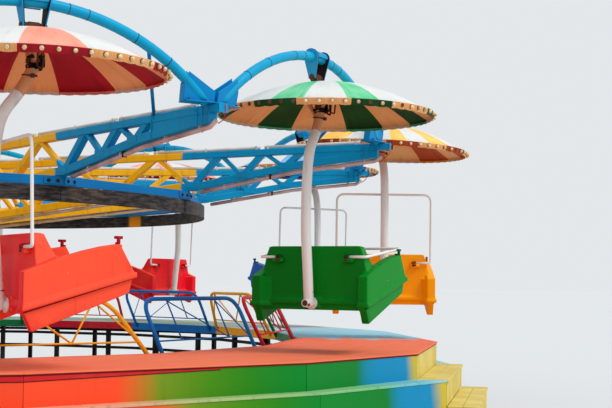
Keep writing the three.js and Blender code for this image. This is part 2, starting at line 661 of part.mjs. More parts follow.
function stairs() {
  const left = deckCorner(0);
  const right = deckCorner(1);
  const along = new THREE.Vector2().subVectors(right, left);
  const width = along.length();
  const treads = 3;
  const pieces = [];
  for (let step = 1; step <= treads; step += 1) {
    const top = DECK_TOP - step * RISER;
    const near = step === 1 ? SEAT_GAP : (step - 1) * TREAD - 5;
    const far = step * TREAD;
    const low = step === treads ? 0 : top - RISER - 10;
    pieces.push(block(near, far, 5, width - 5, top - 30, top));
    pieces.push(block(far - PANEL_THICKNESS, far, 5, width - 5, low, top - 20));
    for (const y of [5, width - 30]) pieces.push(block(near, far - 5, y, y + PANEL_THICKNESS, 0, top - 20));
  }
  const flight = join(pieces);
  const turn = Math.atan2(along.y, along.x) - Math.PI / 2;
  return flight.rotate([0, 0, THREE.MathUtils.radToDeg(turn)]).translate([left.x, left.y, 0]);
}

const ride = new THREE.Group();

addPart(ride, 'centre_pedestal', pedestal(), STEEL_GREY);
addPart(ride, 'slewing_hub', slewingHub(), YELLOW_PAINT);
addPart(ride, 'drive_ring', driveRing(), BLUE_PAINT);

for (let i = 0; i < BAYS; i += 1) {
  const mesh = addPart(ride, `girder_${i + 1}`, girder(), BLUE_PAINT);
  mesh.rotation.z = FIRST_GIRDER_ANGLE + i * BAY_ANGLE;
}

for (let i = 0; i < BAYS / ARCHES_PER_GROUP; i += 1) {
  addPart(ride, `arches_${i + 1}`, archGroup(i * ARCHES_PER_GROUP, ARCHES_PER_GROUP), BLUE_PAINT);
}

for (let i = 0; i < BAYS; i += 1) {
  const seat = new THREE.Group();
  const angle = FIRST_SEAT_ANGLE + i * BAY_ANGLE;
  seat.position.set(ARCH_APEX_RADIUS * Math.cos(angle), ARCH_APEX_RADIUS * Math.sin(angle), 0);
  seat.rotation.z = angle + Math.PI / 2;
  ride.add(seat);
  const offset = i + 1 === SLIPPED_CANOPY_NUMBER ? SLIPPED_OFFSET : CANOPY_OFFSET;
  addPart(seat, `canopy_${i + 1}`, canopyAndPole(offset), CANOPY_PAINTS[i % CANOPY_PAINTS.length]);
  addPart(seat, `tub_${i + 1}`, tub(), TUB_PAINTS[i % TUB_PAINTS.length]);
  addPart(seat, `lap_bar_${i + 1}`, lapBar(i + 1 !== LOWERED_SEAT_NUMBER), BAR_WHITE);
}

for (let i = 0; i < DECK_SECTIONS; i += 1) {
  const bays = DECK_BAYS / DECK_SECTIONS;
  addPart(ride, `platform_${i + 1}`, deckSection(FIRST_SECTION_CORNER + i * bays, bays), DECK_RED);
}

for (let i = 0; i < RAILING_SECTIONS; i += 1) {
  const bays = DECK_BAYS / RAILING_SECTIONS;
  addPart(ride, `railings_${i + 1}`, railingSection(FIRST_SECTION_CORNER + i * bays, bays), RAILING_PAINT);
}

addPart(ride, 'stairs', stairs(), STAIR_YELLOW);

export default ride;
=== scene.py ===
from math import atan2, cos, degrees, hypot, pi, radians, sin, sqrt
from random import Random

import bmesh
import bpy
from mathutils import Matrix, Vector


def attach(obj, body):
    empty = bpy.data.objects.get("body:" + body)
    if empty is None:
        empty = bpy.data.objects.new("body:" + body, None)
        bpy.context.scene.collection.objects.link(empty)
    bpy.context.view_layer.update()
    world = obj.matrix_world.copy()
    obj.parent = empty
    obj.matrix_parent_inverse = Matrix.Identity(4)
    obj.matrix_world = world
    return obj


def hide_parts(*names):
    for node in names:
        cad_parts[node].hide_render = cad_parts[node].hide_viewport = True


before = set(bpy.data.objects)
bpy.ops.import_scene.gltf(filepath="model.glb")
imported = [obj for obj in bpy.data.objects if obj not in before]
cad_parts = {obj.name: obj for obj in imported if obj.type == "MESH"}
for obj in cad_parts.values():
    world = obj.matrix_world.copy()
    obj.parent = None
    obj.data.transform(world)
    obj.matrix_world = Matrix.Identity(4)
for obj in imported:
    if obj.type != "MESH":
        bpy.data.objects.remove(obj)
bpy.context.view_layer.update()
scene = bpy.context.scene

# Sizes of the ride, in metres and degrees
BAYS = 12
BAY = 30.0
HALF_BAY = 15.0
FIRST_GIRDER = -64.7
FIRST_SEAT = -79.7
ROOT_RADIUS = 0.5203
TIP_RADIUS = 6.2
TIP_TOP = 3.104
TOP_FALL = 0.0362
TOP_NODES = (0.9, 1.74, 2.7, 3.707, 4.452, 4.94, 5.379)
BOTTOM_NODES = (1.256, 2.216, 3.176, 4.137, 4.707, 5.178)
PAINT_CHANGE = 4.02
RING_SEAT = 2.6103
RING_START, RING_END = 3.96, 4.15
RING_CORNER = 4.104
APEX_RADIUS = 6.1
APEX_HEIGHT = 3.745
SADDLE_TOP = 3.1163
ARCH_FOOT = TIP_RADIUS * cos(radians(HALF_BAY))
ARCH_HALF_SPAN = 1.528
PIN_HEIGHT = 3.56
CANOPY_RADIUS = 1.015
CANOPY_DROP = 0.31
GORES = 14
BULBS = 56
SEAT_OUTWARD = 0.07
STUB_HEIGHT = 1.443
POLE_PATH = ((0, 0, 3.49), (0.015, 0.04, 3.25), (-0.123, 0.065, 3.022), (-0.245, 0.07, 2.87),
             (-0.285, 0.07, 2.7), (-0.303, 0.07, 2.45), (-0.306, 0.07, 2.1), (-0.262, 0.07, 1.74),
             (-0.232, 0.07, STUB_HEIGHT))
BAR_PIVOT = (-0.175, 1.866)
BAR_LENGTH = 0.795
BAR_DOWN, BAR_UP = 7.05, 91.8
DECK_SIDES = 18
DECK_RADIUS = 6.72
PIT_RADIUS = 5.2
DECK_TOP = 0.98
LEDGE_TOP = 0.735
STAIR_CORNERS = {-1: (-59.8, 6.787), 0: (-45.0, 6.93), 1: (-25.5, 6.77)}
STEP_RISE = 0.245
STEP_RUN = 0.28
SEAT_COLOURS = ("red", "green", "orange", "blue")
SIDES = (-1, 1)


def linked(name, data):
    thing = bpy.data.objects.new(name, data)
    scene.collection.objects.link(thing)
    return thing


def polar(radius, angle, height=0.0):
    """A point by its distance and angle round the middle of the ride."""
    return Vector((radius * cos(radians(angle)), radius * sin(radians(angle)), height))


def add_camera():
    data = bpy.data.cameras.new("camera")
    data.lens = 73.5
    data.sensor_width = 36
    data.clip_end = 300
    pitch, roll = radians(3.5), 0.012
    forward = polar(cos(pitch), 69.04, sin(pitch))
    level = forward.cross(Vector((0, 0, 1))).normalized()
    upright = level.cross(forward)
    right = level * cos(roll) + upright * sin(roll)
    up = upright * cos(roll) - level * sin(roll)
    turn = Matrix((right, up, -forward)).transposed().to_4x4()
    scene.camera = linked("camera", data)
    scene.camera.matrix_world = Matrix.Translation((-0.323, -15.553, 1.649)) @ turn


add_camera()


# Paint and other finishes

def tone(red, green, blue):
    """A display colour, 0 to 255, as the linear colour of a shader."""
    shares = [c / 255 for c in (red, green, blue)]
    return tuple(c / 12.92 if c <= 0.04045 else ((c + 0.055) / 1.055) ** 2.4 for c in shares) + (1.0,)


class Wire:
    """A shader socket that can stand in a sum."""

    def __init__(self, tree, socket):
        self.tree = tree
        self.socket = socket

    def maths(self, operation, first, second):
        node = self.tree.nodes.new("ShaderNodeMath")
        node.operation = operation
        for slot, term in zip(node.inputs, (first, second)):
            if isinstance(term, Wire):
                self.tree.links.new(term.socket, slot)
            else:
                slot.default_value = term
        return Wire(self.tree, node.outputs[0])

    def __add__(self, other):
        return self.maths("ADD", self, other)

    def __radd__(self, other):
        return self.maths("ADD", other, self)

    def __sub__(self, other):
        return self.maths("SUBTRACT", self, other)

    def __rsub__(self, other):
        return self.maths("SUBTRACT", other, self)

    def __mul__(self, other):
        return self.maths("MULTIPLY", self, other)

    def __rmul__(self, other):
        return self.maths("MULTIPLY", other, self)

    def __truediv__(self, other):
        return self.maths("DIVIDE", self, other)


class Finish:
    """A material and its nodes. Colours are given as display colours, 0 to 255."""

    def __init__(self, name, roughness=0.5, metallic=0.0, coat=0.0, specular=0.12):
        self.material = bpy.data.materials.new(name)
        self.material.use_nodes = True
        self.tree = self.material.node_tree
        self.shader = self.tree.nodes["Principled BSDF"]
        values = {"Roughness": roughness, "Metallic": metallic, "Coat Weight": coat, "Coat Roughness": 0.25,
                  "Specular IOR Level": specular}
        for slot, value in values.items():
            self.shader.inputs[slot].default_value = value

    def node(self, kind, settings, sockets, output=0):
        """Any node: its settings first, then the values or links of its sockets."""
        made = self.tree.nodes.new(kind)
        for name, value in settings.items():
            if name == "stops":
                points = made.color_ramp.elements
                while len(points) < len(value):
                    points.new(0.5)
                for point, (place, shade) in zip(points, value):
                    point.position = place
                    point.color = shade
            else:
                setattr(made, name, value)
        for slot, value in sockets.items():
            if isinstance(value, Wire):
                self.tree.links.new(value.socket, made.inputs[slot])
            else:
                made.inputs[slot].default_value = value
        return Wire(self.tree, made.outputs[output])

    def place(self, stretch=None, turn=0.0):
        spot = self.node("ShaderNodeTexCoord", {}, {}, "Object")
        if stretch is None:
            return spot
        sockets = {"Vector": spot, "Scale": stretch, "Rotation": (0, 0, turn)}
        return self.node("ShaderNodeMapping", {}, sockets)

    def flat(self, x, y):
        return self.node("ShaderNodeCombineXYZ", {}, {"X": x, "Y": y})

    def noise(self, spot, scale, detail=3.0, rough=0.55):
        sockets = {"Vector": spot, "Scale": scale, "Detail": detail, "Roughness": rough}
        return self.node("ShaderNodeTexNoise", {}, sockets)

    def step(self, value, low, high):
        sockets = {"Value": value, "From Min": low, "From Max": high}
        return self.node("ShaderNodeMapRange", {"interpolation_type": "SMOOTHSTEP"}, sockets)

    def mix(self, share, first, second):
        first, second = (term if isinstance(term, Wire) else tone(*term) for term in (first, second))
        return self.node("ShaderNodeMix", {"data_type": "RGBA"}, {0: share, 6: first, 7: second}, 2)

    def round_the_ride(self, turn, stops):
        """Colours at their angles round the ride, in degrees from -180 to 180."""
        settings = {"stops": [((angle + 180) / 360, tone(*colour)) for angle, colour in stops]}
        return self.node("ShaderNodeValToRGB", settings, {"Fac": (turn + 180) / 360})

    def axes(self, spot):
        split = self.node("ShaderNodeSeparateXYZ", {}, {"Vector": spot})
        return [Wire(self.tree, out) for out in split.socket.node.outputs]

    def bearing(self):
        """The angle round the middle of the ride, in degrees from -180 to 180."""
        x, y, _ = self.axes(self.place())
        return x.maths("ARCTAN2", y, x) * (180 / pi)

    def radius(self):
        x, y, _ = self.axes(self.place())
        return x.maths("POWER", x * x + y * y, 0.5)

    def feed(self, name, wire):
        self.tree.links.new(wire.socket, self.shader.inputs[name])

    def close(self, shade, roughness, height=None, distance=0.0, strength=0.0):
        """Feeds the shader and gives the material."""
        self.feed("Base Color", shade)
        self.feed("Roughness", roughness)
        if height:
            sockets = {"Height": height, "Distance": distance, "Strength": strength}
            self.feed("Normal", self.node("ShaderNodeBump", {}, sockets, "Normal"))
        return self.material


RUST = (96, 52, 30)
PRIMER = (150, 70, 48)
GRIME = (58, 50, 42)


def weathered(name, base, pale, roughness, coat, fade, chips, streaks, grain=11.0, under=RUST):
    """Outdoor paint: sun-faded in patches, mottled, streaked by rain and chipped."""
    finish = Finish(name, roughness, 0.0, coat)
    shade, light = (colour(finish) if callable(colour) else colour for colour in (base, pale))
    spot = finish.place()
    patch = finish.noise(spot, 1.3, 4)
    mottle = finish.noise(spot, grain, 6, 0.6)
    speck = finish.noise(spot, grain * 3.1, 5, 0.6)
    rain = finish.noise(finish.place((16, 16, 1.3)), 1.0, 4)
    shade = finish.mix(finish.step(patch, 0.4, 0.72) * fade, shade, light)
    shade = finish.mix(finish.step(rain, 0.52, 0.78) * streaks, shade, GRIME)
    shade = finish.mix(finish.step(mottle, 0.5, 0.9) * 0.35, shade, light)
    worn = finish.step(speck, 0.66, 0.7) * finish.step(patch, 0.5, 0.62) * chips * 2.2
    worn = worn.maths("MINIMUM", worn, 1.0)
    rough = roughness + 0.22 * (mottle - 0.5) + 0.3 * worn
    relief = mottle * 0.5 + speck * 0.3 - worn * 1.2
    return finish.close(finish.mix(worn, shade, under), rough, relief, 0.0012, 0.5)


def by_radius(inner, outer):
    """One colour towards the hub and another towards the tips, with a brushed edge."""
    def shade(finish):
        edge = finish.noise(finish.place(), 23, 3) * 0.05 - 0.025
        share = finish.step(finish.radius() + edge, PAINT_CHANGE - 0.015, PAINT_CHANGE + 0.015)
        return finish.mix(share, inner, outer)
    return shade


def by_bearing(stops, spread=2.4, scale=0.9):
    """Colours that change with the angle round the ride, with a wavering, sprayed edge between them."""
    def shade(finish):
        waver = finish.noise(finish.place(), scale, 3) - 0.5
        return finish.round_the_ride(finish.bearing() + waver * spread, stops)
    return shade


def hoop_paint():
    finish = Finish("scuffed_hoop", 0.5, 0.35)
    turn = finish.bearing()
    _, _, z = finish.axes(finish.place())
    smear = finish.noise(finish.flat(turn * 0.12, z * 9.0), 3.2, 5, 0.65)
    fine = finish.noise(finish.flat(turn * 0.5, z * 70.0), 2.0, 4)
    dust = finish.noise(finish.place(), 2.1, 4)
    shade = finish.mix(finish.step(smear, 0.35, 0.75), (34, 32, 33), (92, 88, 86))
    shade = finish.mix(finish.step(dust, 0.5, 0.8) * 0.5, shade, (122, 92, 66))
    edge = finish.step(z, 2.485, 2.515)
    scratch = finish.step(fine, 0.6, 0.68) * finish.step(dust, 0.42, 0.6) * (0.25 + 0.75 * edge)
    shade = finish.mix(scratch * 0.75, shade, (215, 212, 205))
    inside = 1 - finish.step(finish.radius(), 4.049, 4.051)
    patch = finish.step(turn, 21.6, 22.4) * (1 - finish.step(turn, 25.2, 26.2)) * inside
    shade = finish.mix(patch, shade, (232, 150, 20))
    return finish.close(shade, 0.42 + 0.25 * smear, fine * 0.6 + smear, 0.001, 0.4)


def plastic_tube(name, colour, dirty):
    """Frosted sleeve of a row of small lamps, dusty in patches."""
    finish = Finish(name, 0.45, 0.0, 0.05)
    spot = finish.place()
    cloud = finish.noise(spot, 3.4, 4)
    shade = finish.mix(finish.step(cloud, 0.38, 0.7), colour, dirty)
    return finish.close(shade, 0.38 + 0.2 * cloud, finish.noise(spot, 30, 2), 0.0006, 0.5)


def steel(name, colour, rust_share, roughness=0.6):
    finish = Finish(name, roughness, 0.5)
    spot = finish.place()
    cloud = finish.noise(spot, 7, 5)
    pit = finish.noise(spot, 60, 4)
    rusty = finish.step(cloud, 0.42, 0.62)
    shade = finish.mix(rusty * rust_share, colour, RUST)
    shade = finish.mix(finish.step(pit, 0.55, 0.75) * 0.5, shade, (40, 26, 18))
    finish.feed("Metallic", 0.55 - 0.45 * rusty)
    return finish.close(shade, roughness + 0.25 * (pit - 0.5), pit, 0.0012, 0.6)


def gelcoat(name, colour, pale, deep):
    """Moulded shell of a tub, mottled, rain-streaked and scuffed; faces turned outwards and upwards are paler
    as painted sunlight, and it is darker in patches towards the bottom.
    """
    finish = Finish(name, 0.4, 0.0, 0.0, 0.1)
    spot = finish.place()
    x, y, height = finish.axes(spot)
    east, north, up = finish.axes(finish.node("ShaderNodeNewGeometry", {}, {}, "Normal"))
    painted_light_outward = (east * x + north * y) / finish.radius()
    cloud = finish.noise(spot, 2.2, 4)
    cut = finish.noise(spot, 26, 6, 0.62)
    rain = finish.noise(finish.place((22, 22, 1.6)), 1.0, 4)
    low = (1 - finish.step(height, 1.26, 1.5)) * finish.step(finish.noise(spot, 6, 4), 0.35, 0.7)
    scuff = finish.step(cut, 0.68, 0.72) * finish.step(cloud, 0.5, 0.6)
    shade = finish.mix(finish.step(cloud, 0.36, 0.7) * 0.25, colour, pale)
    # Painted light: faces turned away from the hub and faces turned upwards take the paler colour.
    shade = finish.mix(finish.step(painted_light_outward, 0.35, 0.9) * 0.75, shade, pale)
    shade = finish.mix(finish.step(up, 0.25, 0.95) * 0.5, shade, pale)
    shade = finish.mix(low * 0.45, shade, deep)
    shade = finish.mix(finish.step(rain, 0.55, 0.8) * 0.3, shade, deep)
    shade = finish.mix(scuff * 0.5, shade, (215, 205, 190))
    relief = finish.noise(spot, 5, 3) * 2.0 + cut * 0.25
    return finish.close(shade, 0.3 + 0.22 * cloud + 0.25 * scuff, relief, 0.0015, 0.35)


def gore_paint(name, colour, pale, streak, share=0.5):
    """Paint of a canopy gore, with streaks that run from the crown to the rim."""
    finish = Finish(name)
    u, v, _ = finish.axes(finish.node("ShaderNodeUVMap", {"uv_map": "gore"}, {}))
    lines = finish.noise(finish.flat(u * 3.0, v * 1.1), 2.2, 5)
    fine = finish.noise(finish.flat(u * 14.0, v * 1.6), 2.5, 4)
    cloud = finish.noise(finish.place(), 2.7, 4)
    grey = finish.step(v, 0.9, 1.02) * finish.step(fine, 0.35, 0.65)
    shade = finish.mix(finish.step(cloud, 0.35, 0.7), colour, pale)
    shade = finish.mix(finish.step(lines, 0.5, 0.72) * share, shade, streak)
    shade = finish.mix(finish.step(fine, 0.55, 0.8) * 0.3, shade, streak)
    shade = finish.mix(grey * 0.25, shade, GRIME)
    return finish.close(shade, 0.42 + 0.2 * cloud, lines + fine * 0.5, 0.002, 0.3)


def bulb_glass():
    finish = Finish("bulb_glass", 0.2, 0.0, 0.15, 0.4)
    dust = finish.noise(finish.place(), 17, 3)
    shade = finish.mix(finish.step(dust, 0.4, 0.65), (236, 214, 168), (196, 160, 108))
    return finish.close(shade, 0.16 + 0.3 * dust)


def board_paint(name, base, pale, dark):
    """Paint over sawn boards: grain shows through, and the paint is chipped bare in places."""
    finish = Finish(name, 0.6)
    spot = finish.place()
    grain = finish.noise(finish.place((5, 5, 30), 0.6), 1.0, 6, 0.65)
    chip = finish.step(finish.noise(spot, 38, 5), 0.66, 0.7)
    shade = finish.mix(finish.step(finish.noise(spot, 2.4, 4), 0.38, 0.7), base, pale)
    shade = finish.mix(finish.step(grain, 0.52, 0.75) * 0.4, shade, dark)
    shade = finish.mix(chip * 0.6, shade, (120, 100, 78))
    return finish.close(shade, 0.55 + 0.25 * (grain - 0.5), grain - chip * 0.5, 0.0018, 0.5)


# Colours round the platform, each from its angle in degrees
DECK_STOPS = [
    (-180, (150, 190, 165)), (-150, (146, 188, 160)), (-140, (240, 122, 82)), (-24, (238, 116, 80)),
    (-19, (126, 196, 222)), (2, (150, 208, 222)), (10, (196, 208, 208)), (20, (186, 204, 200)),
    (27, (150, 190, 170)), (170, (148, 190, 166)),
]
FASCIA_STOPS = [
    (-180, (20, 112, 60)), (-130, (20, 120, 58)), (-120, (240, 76, 42)), (-74.0, (246, 78, 42)),
    (-71.8, (118, 146, 30)), (-67.8, (70, 138, 12)), (-64.3, (36, 130, 20)), (-61.3, (0, 132, 40)),
    (-53.3, (0, 124, 40)), (-51.7, (0, 136, 184)), (-45.95, (0, 136, 182)), (-45.6, (206, 180, 40)),
    (20, (214, 190, 60)), (178, (20, 112, 60)),
]
SKIRT_STOPS = [(angle + (1.3 if -80 < angle < -50 else 0.3 if -50 < angle < 0 else 0), colour)
               for angle, colour in FASCIA_STOPS]
LEDGE_STOPS = [
    (-180, (120, 180, 130)), (-125, (130, 184, 126)), (-118, (226, 146, 118)), (-76, (226, 156, 126)),
    (-71, (176, 184, 124)), (-64, (146, 186, 120)), (-54, (118, 190, 130)), (-50, (120, 190, 186)),
    (-47, (112, 186, 206)), (-45, (150, 200, 206)), (170, (120, 180, 130)),
]


def deck_paint():
    """Painted plywood of the deck, whose colour changes round the ring, with long brushed streaks."""
    finish = Finish("deck_paint", 0.62)
    turn = finish.bearing()
    reach = finish.radius()
    waver = finish.noise(finish.flat(turn * 0.04, reach * 2.2), 2.0, 4) - 0.5
    bands = finish.noise(finish.flat(turn * 0.05, reach * 4.5), 2.2, 6, 0.6)
    grain = finish.noise(finish.flat(turn * 0.35, reach * 40.0), 2.0, 5)
    dust = finish.noise(finish.place(), 3.0, 5)
    salmon = 1 - finish.step(turn, -20, -14)
    shade = finish.round_the_ride(turn + waver * 16, DECK_STOPS)
    shade = finish.mix(finish.step(bands, 0.48, 0.78) * 0.55, shade, (206, 98, 72))
    shade = finish.mix(finish.step(grain, 0.52, 0.8) * 0.3 * salmon, shade, (255, 160, 124))
    shade = finish.mix(finish.step(dust, 0.62, 0.8) * 0.35, shade, (150, 120, 100))
    return finish.close(shade, 0.52 + 0.25 * bands, grain * 0.6 + bands, 0.002, 0.35)


# Outdoor paints: colour, faded colour, roughness, coat, fading, chips, streaks, grain and what chips lay bare
OUTDOOR_PAINTS = {
    "girder_paint": (by_radius((250, 180, 4), (0, 144, 196)), by_radius((255, 204, 56), (0, 160, 210)),
                     0.4, 0.02, 0.5, 0.3, 0.3),
    "ring_paint": ((0, 114, 180), (0, 134, 192), 0.4, 0.02, 0.45, 0.2, 0.3),
    "arch_paint": ((0, 156, 202), (14, 172, 214), 0.36, 0.03, 0.5, 0.15, 0.18),
    "cheek_paint": ((0, 134, 196), (8, 148, 208), 0.38, 0.02, 0.4, 0.2, 0.2),
    "hanger_paint": ((10, 138, 196), (70, 172, 208), 0.5, 0.0, 0.6, 0.4, 0.3),
    "red_paint": ((200, 30, 36), (226, 80, 70), 0.45, 0.02, 0.4, 0.3, 0.2),
    "hub_paint": ((246, 170, 16), (255, 205, 90), 0.45, 0.02, 0.5, 0.35, 0.35),
    "pedestal_paint": ((66, 70, 74), (110, 112, 112), 0.55, 0.0, 0.5, 0.4, 0.3),
    "pole_paint": ((226, 223, 218), (238, 237, 233), 0.42, 0.02, 0.5, 0.2, 0.3, 11.0, PRIMER),
    # The next one is the tan of the pole's top and fork under the canopy: painted shade with warm light
    # reflected from the deck, over the white paint.
    "fork_paint": ((214, 150, 104), (226, 180, 140), 0.5, 0.0, 0.5, 0.4, 0.4),
    "bar_paint": ((232, 228, 224), (246, 243, 241), 0.4, 0.02, 0.4, 0.9, 0.25, 16.0),
    "fascia_paint": (by_bearing(FASCIA_STOPS), by_bearing(FASCIA_STOPS, 3.0, 1.7),
                     0.45, 0.02, 0.3, 0.12, 0.1, 7.0, (226, 70, 40)),
    "skirt_paint": (by_bearing(SKIRT_STOPS), by_bearing(SKIRT_STOPS, 3.0, 1.7),
                    0.45, 0.02, 0.3, 0.12, 0.1, 7.0, (226, 70, 40)),
    "ledge_paint": (by_bearing(LEDGE_STOPS, 3.0, 1.3), by_bearing(LEDGE_STOPS, 5.0, 2.6),
                    0.6, 0.0, 0.5, 0.3, 0.5, 9.0, (120, 84, 60)),
    "edge_shadow": ((120, 26, 30), (150, 40, 40), 0.6, 0.0, 0.3, 0.3, 0.4),
    "rail_red": ((204, 26, 48), (226, 70, 76), 0.4, 0.02, 0.4, 0.3, 0.2),
    "rail_green": ((16, 112, 60), (50, 140, 90), 0.4, 0.02, 0.4, 0.3, 0.2),
    "rail_yellow": ((244, 168, 16), (255, 200, 80), 0.4, 0.02, 0.4, 0.3, 0.2),
    "rail_blue": ((10, 108, 190), (50, 150, 215), 0.4, 0.02, 0.4, 0.3, 0.2),
}
# Steel: colour, share of rust and roughness
STEELS = {
    # Near-black steel; the same finish is painted shade inside the hanger lugs and painted shadow under the
    # red bearer of the deck.
    "black_inside": ((26, 24, 24), 0.2, 0.75),
    "rusty_steel": ((92, 66, 52), 0.8, 0.7),
    "dark_steel": ((52, 46, 44), 0.45),
    "weld": ((50, 70, 90), 0.5),
    "socket": ((120, 84, 60), 0.7, 0.7),
    # The next four are painted shadow: dark strips under the ridges of the tub shells.
    "red_groove": ((120, 0, 20), 0.2),
    "green_groove": ((2, 44, 10), 0.2),
    "orange_groove": ((176, 84, 0), 0.2),
    "blue_groove": ((6, 34, 84), 0.2),
}
# Lamp sleeves: colour and dusty colour
SLEEVES = {
    "white_sleeve": ((216, 212, 206), (190, 180, 168)),
    "pink_sleeve": ((212, 184, 180), (170, 140, 136)),
    "tan_sleeve": ((222, 196, 160), (188, 152, 110)),
}
# Canopy paints: colour, pale colour, streaks and how much of them
GORE_PAINTS = {
    "white_gore": ((216, 218, 216), (226, 227, 224), (196, 194, 188), 0.4),
    "red_gore": ((250, 150, 126), (255, 172, 150), (235, 110, 90)),
    "green_gore": ((86, 200, 140), (132, 214, 168), (10, 176, 90), 0.9),
    "orange_gore": ((250, 188, 70), (255, 210, 120), (240, 160, 40)),
    "blue_gore": ((110, 170, 220), (150, 200, 230), (50, 120, 200)),
    # The underside colours below are painted shade: darker copies of the dome colours, for the underside and
    # the rim band; the first is the white gore with painted warm light reflected from the deck. The coloured
    # ones also paint the brackets and pads of the tubs.
    "tan_under": ((238, 166, 102), (244, 182, 120), (212, 138, 78)),
    "red_under": ((158, 0, 24), (176, 16, 34), (118, 0, 16), 0.6),
    "green_under": ((8, 66, 24), (16, 84, 34), (4, 44, 14), 0.6),
    "orange_under": ((178, 66, 14), (196, 84, 24), (140, 44, 8), 0.6),
    "blue_under": ((20, 60, 130), (34, 80, 150), (10, 36, 92), 0.6),
}
# Tub shells: colour, paler colour (mottling, and painted sunlight on faces turned outwards and upwards) and
# deep colour (rain streaks, and darker patches towards the bottom)
SHELLS = {
    "red_shell": ((240, 14, 34), (255, 92, 58), (206, 0, 30)),
    "green_shell": ((0, 120, 22), (0, 136, 34), (0, 88, 12)),
    "orange_shell": ((250, 154, 0), (255, 172, 8), (228, 122, 0)),
    "blue_shell": ((14, 92, 184), (50, 128, 208), (8, 52, 120)),
}
# Painted boards: colour, pale colour and dark grain
BOARDS = {
    "black_timber": ((24, 22, 24), (44, 40, 40), (12, 10, 10)),
    "stair_paint": ((206, 184, 88), (222, 202, 112), (174, 148, 62)),
}
FINISHES = {"hoop_paint": hoop_paint(), "bulb_glass": bulb_glass(), "deck_paint": deck_paint()}
for make, table in ((weathered, OUTDOOR_PAINTS), (steel, STEELS), (plastic_tube, SLEEVES),
                    (gore_paint, GORE_PAINTS), (gelcoat, SHELLS), (board_paint, BOARDS)):
    FINISHES.update((name, make(name, *facts)) for name, facts in table.items())


# Shapes

def soften(shape, width, segments=2):
    """Rounds the corners of a shape; only the rounded faces are shaded smooth."""
    corner = 0.5
    edges = [edge for edge in shape.edges if edge.is_manifold and edge.calc_face_angle() > corner]
    made = bmesh.ops.bevel(shape, geom=edges, offset=width, offset_type="OFFSET", segments=segments,
                           profile=0.5, affect="EDGES", material=-1, clamp_overlap=True)
    for face in made["faces"]:
        face.smooth = True
    return shape


def box(start, end, edge=0.004, segments=1):
    """A block between two opposite corners, given in any order."""
    shape = bmesh.new()
    bmesh.ops.create_cube(shape, size=1)
    low, high = Vector(map(min, start, end)), Vector(map(max, start, end))
    bmesh.ops.scale(shape, vec=high - low, verts=shape.verts)
    bmesh.ops.translate(shape, vec=(low + high) / 2, verts=shape.verts)
    return soften(shape, edge, segments) if edge else shape


def prism(outline, depth, edge=0.004, segments=1):
    """A flat outline drawn out along a vector."""
    shape = bmesh.new()
    face = shape.faces.new([shape.verts.new(point) for point in outline])
    made = bmesh.ops.extrude_face_region(shape, geom=[face])["geom"]
    moved = [item for item in made if isinstance(item, bmesh.types.BMVert)]
    bmesh.ops.translate(shape, vec=Vector(depth), verts=moved)
    bmesh.ops.recalc_face_normals(shape, faces=shape.faces[:])
    return soften(shape, edge, segments) if edge else shape


def side_plate(outline, start, end, edge=0.004, segments=1):
    low, high = sorted((start, end))
    return prism([(x, low, z) for x, z in outline], (0, high - low, 0), edge, segments)


def cross_plate(outline, low, high, edge=0.004, segments=1):
    return prism([(low, y, z) for y, z in outline], (high - low, 0, 0), edge, segments)


def floor_plate(outline, low, high, edge=0.003, segments=1):
    return prism([(x, y, low) for x, y in outline], (0, 0, high - low), edge, segments)


def upright_to(way):
    """The turn that brings the Z axis to another way."""
    return Vector((0, 0, 1)).rotation_difference(way).to_matrix().to_4x4()


def rod(start, end, radius, sides=10):
    shape = bmesh.new()
    start, end = Vector(start), Vector(end)
    place = Matrix.Translation((start + end) / 2) @ upright_to(end - start)
    bmesh.ops.create_cone(shape, cap_ends=True, segments=sides, radius1=radius, radius2=radius,
                          depth=(end - start).length, matrix=place)
    for face in shape.faces:
        face.smooth = len(face.verts) == 4
    return shape


def ball(centre, radius, around=8, rings=6, squeeze=(1, 1, 1)):
    shape = bmesh.new()
    place = Matrix.Translation(centre) @ Matrix.Diagonal((*squeeze, 1))
    bmesh.ops.create_uvsphere(shape, u_segments=around, v_segments=rings, radius=radius, matrix=place)
    for face in shape.faces:
        face.smooth = True
    return shape


def beam(start, end, width, depth, edge=0.004, side=(0, 1, 0)):
    """A straight rectangular bar; its depth lies along side."""
    start, end, side = Vector(start), Vector(end), Vector(side)
    along = (end - start).normalized()
    half = (end - start).length / 2
    shape = box((-half, -depth / 2, -width / 2), (half, depth / 2, width / 2), edge)
    turn = Matrix((along, side, along.cross(side).normalized())).transposed().to_4x4()
    bmesh.ops.transform(shape, matrix=Matrix.Translation((start + end) / 2) @ turn, verts=shape.verts)
    return shape


def rounded(points, reach, steps=5):
    """A line through points whose corners are turned into bends."""
    points = [Vector(point) for point in points]
    path = [points[0]]
    for before, corner, after in zip(points, points[1:], points[2:]):
        start, end = (corner + (other - corner).normalized() * min(reach, (other - corner).length * 0.48)
                      for other in (before, after))
        for k in range(steps + 1):
            t = k / steps
            path.append(start * (1 - t) ** 2 + corner * (2 * t * (1 - t)) + end * t ** 2)
    return path + [points[-1]]


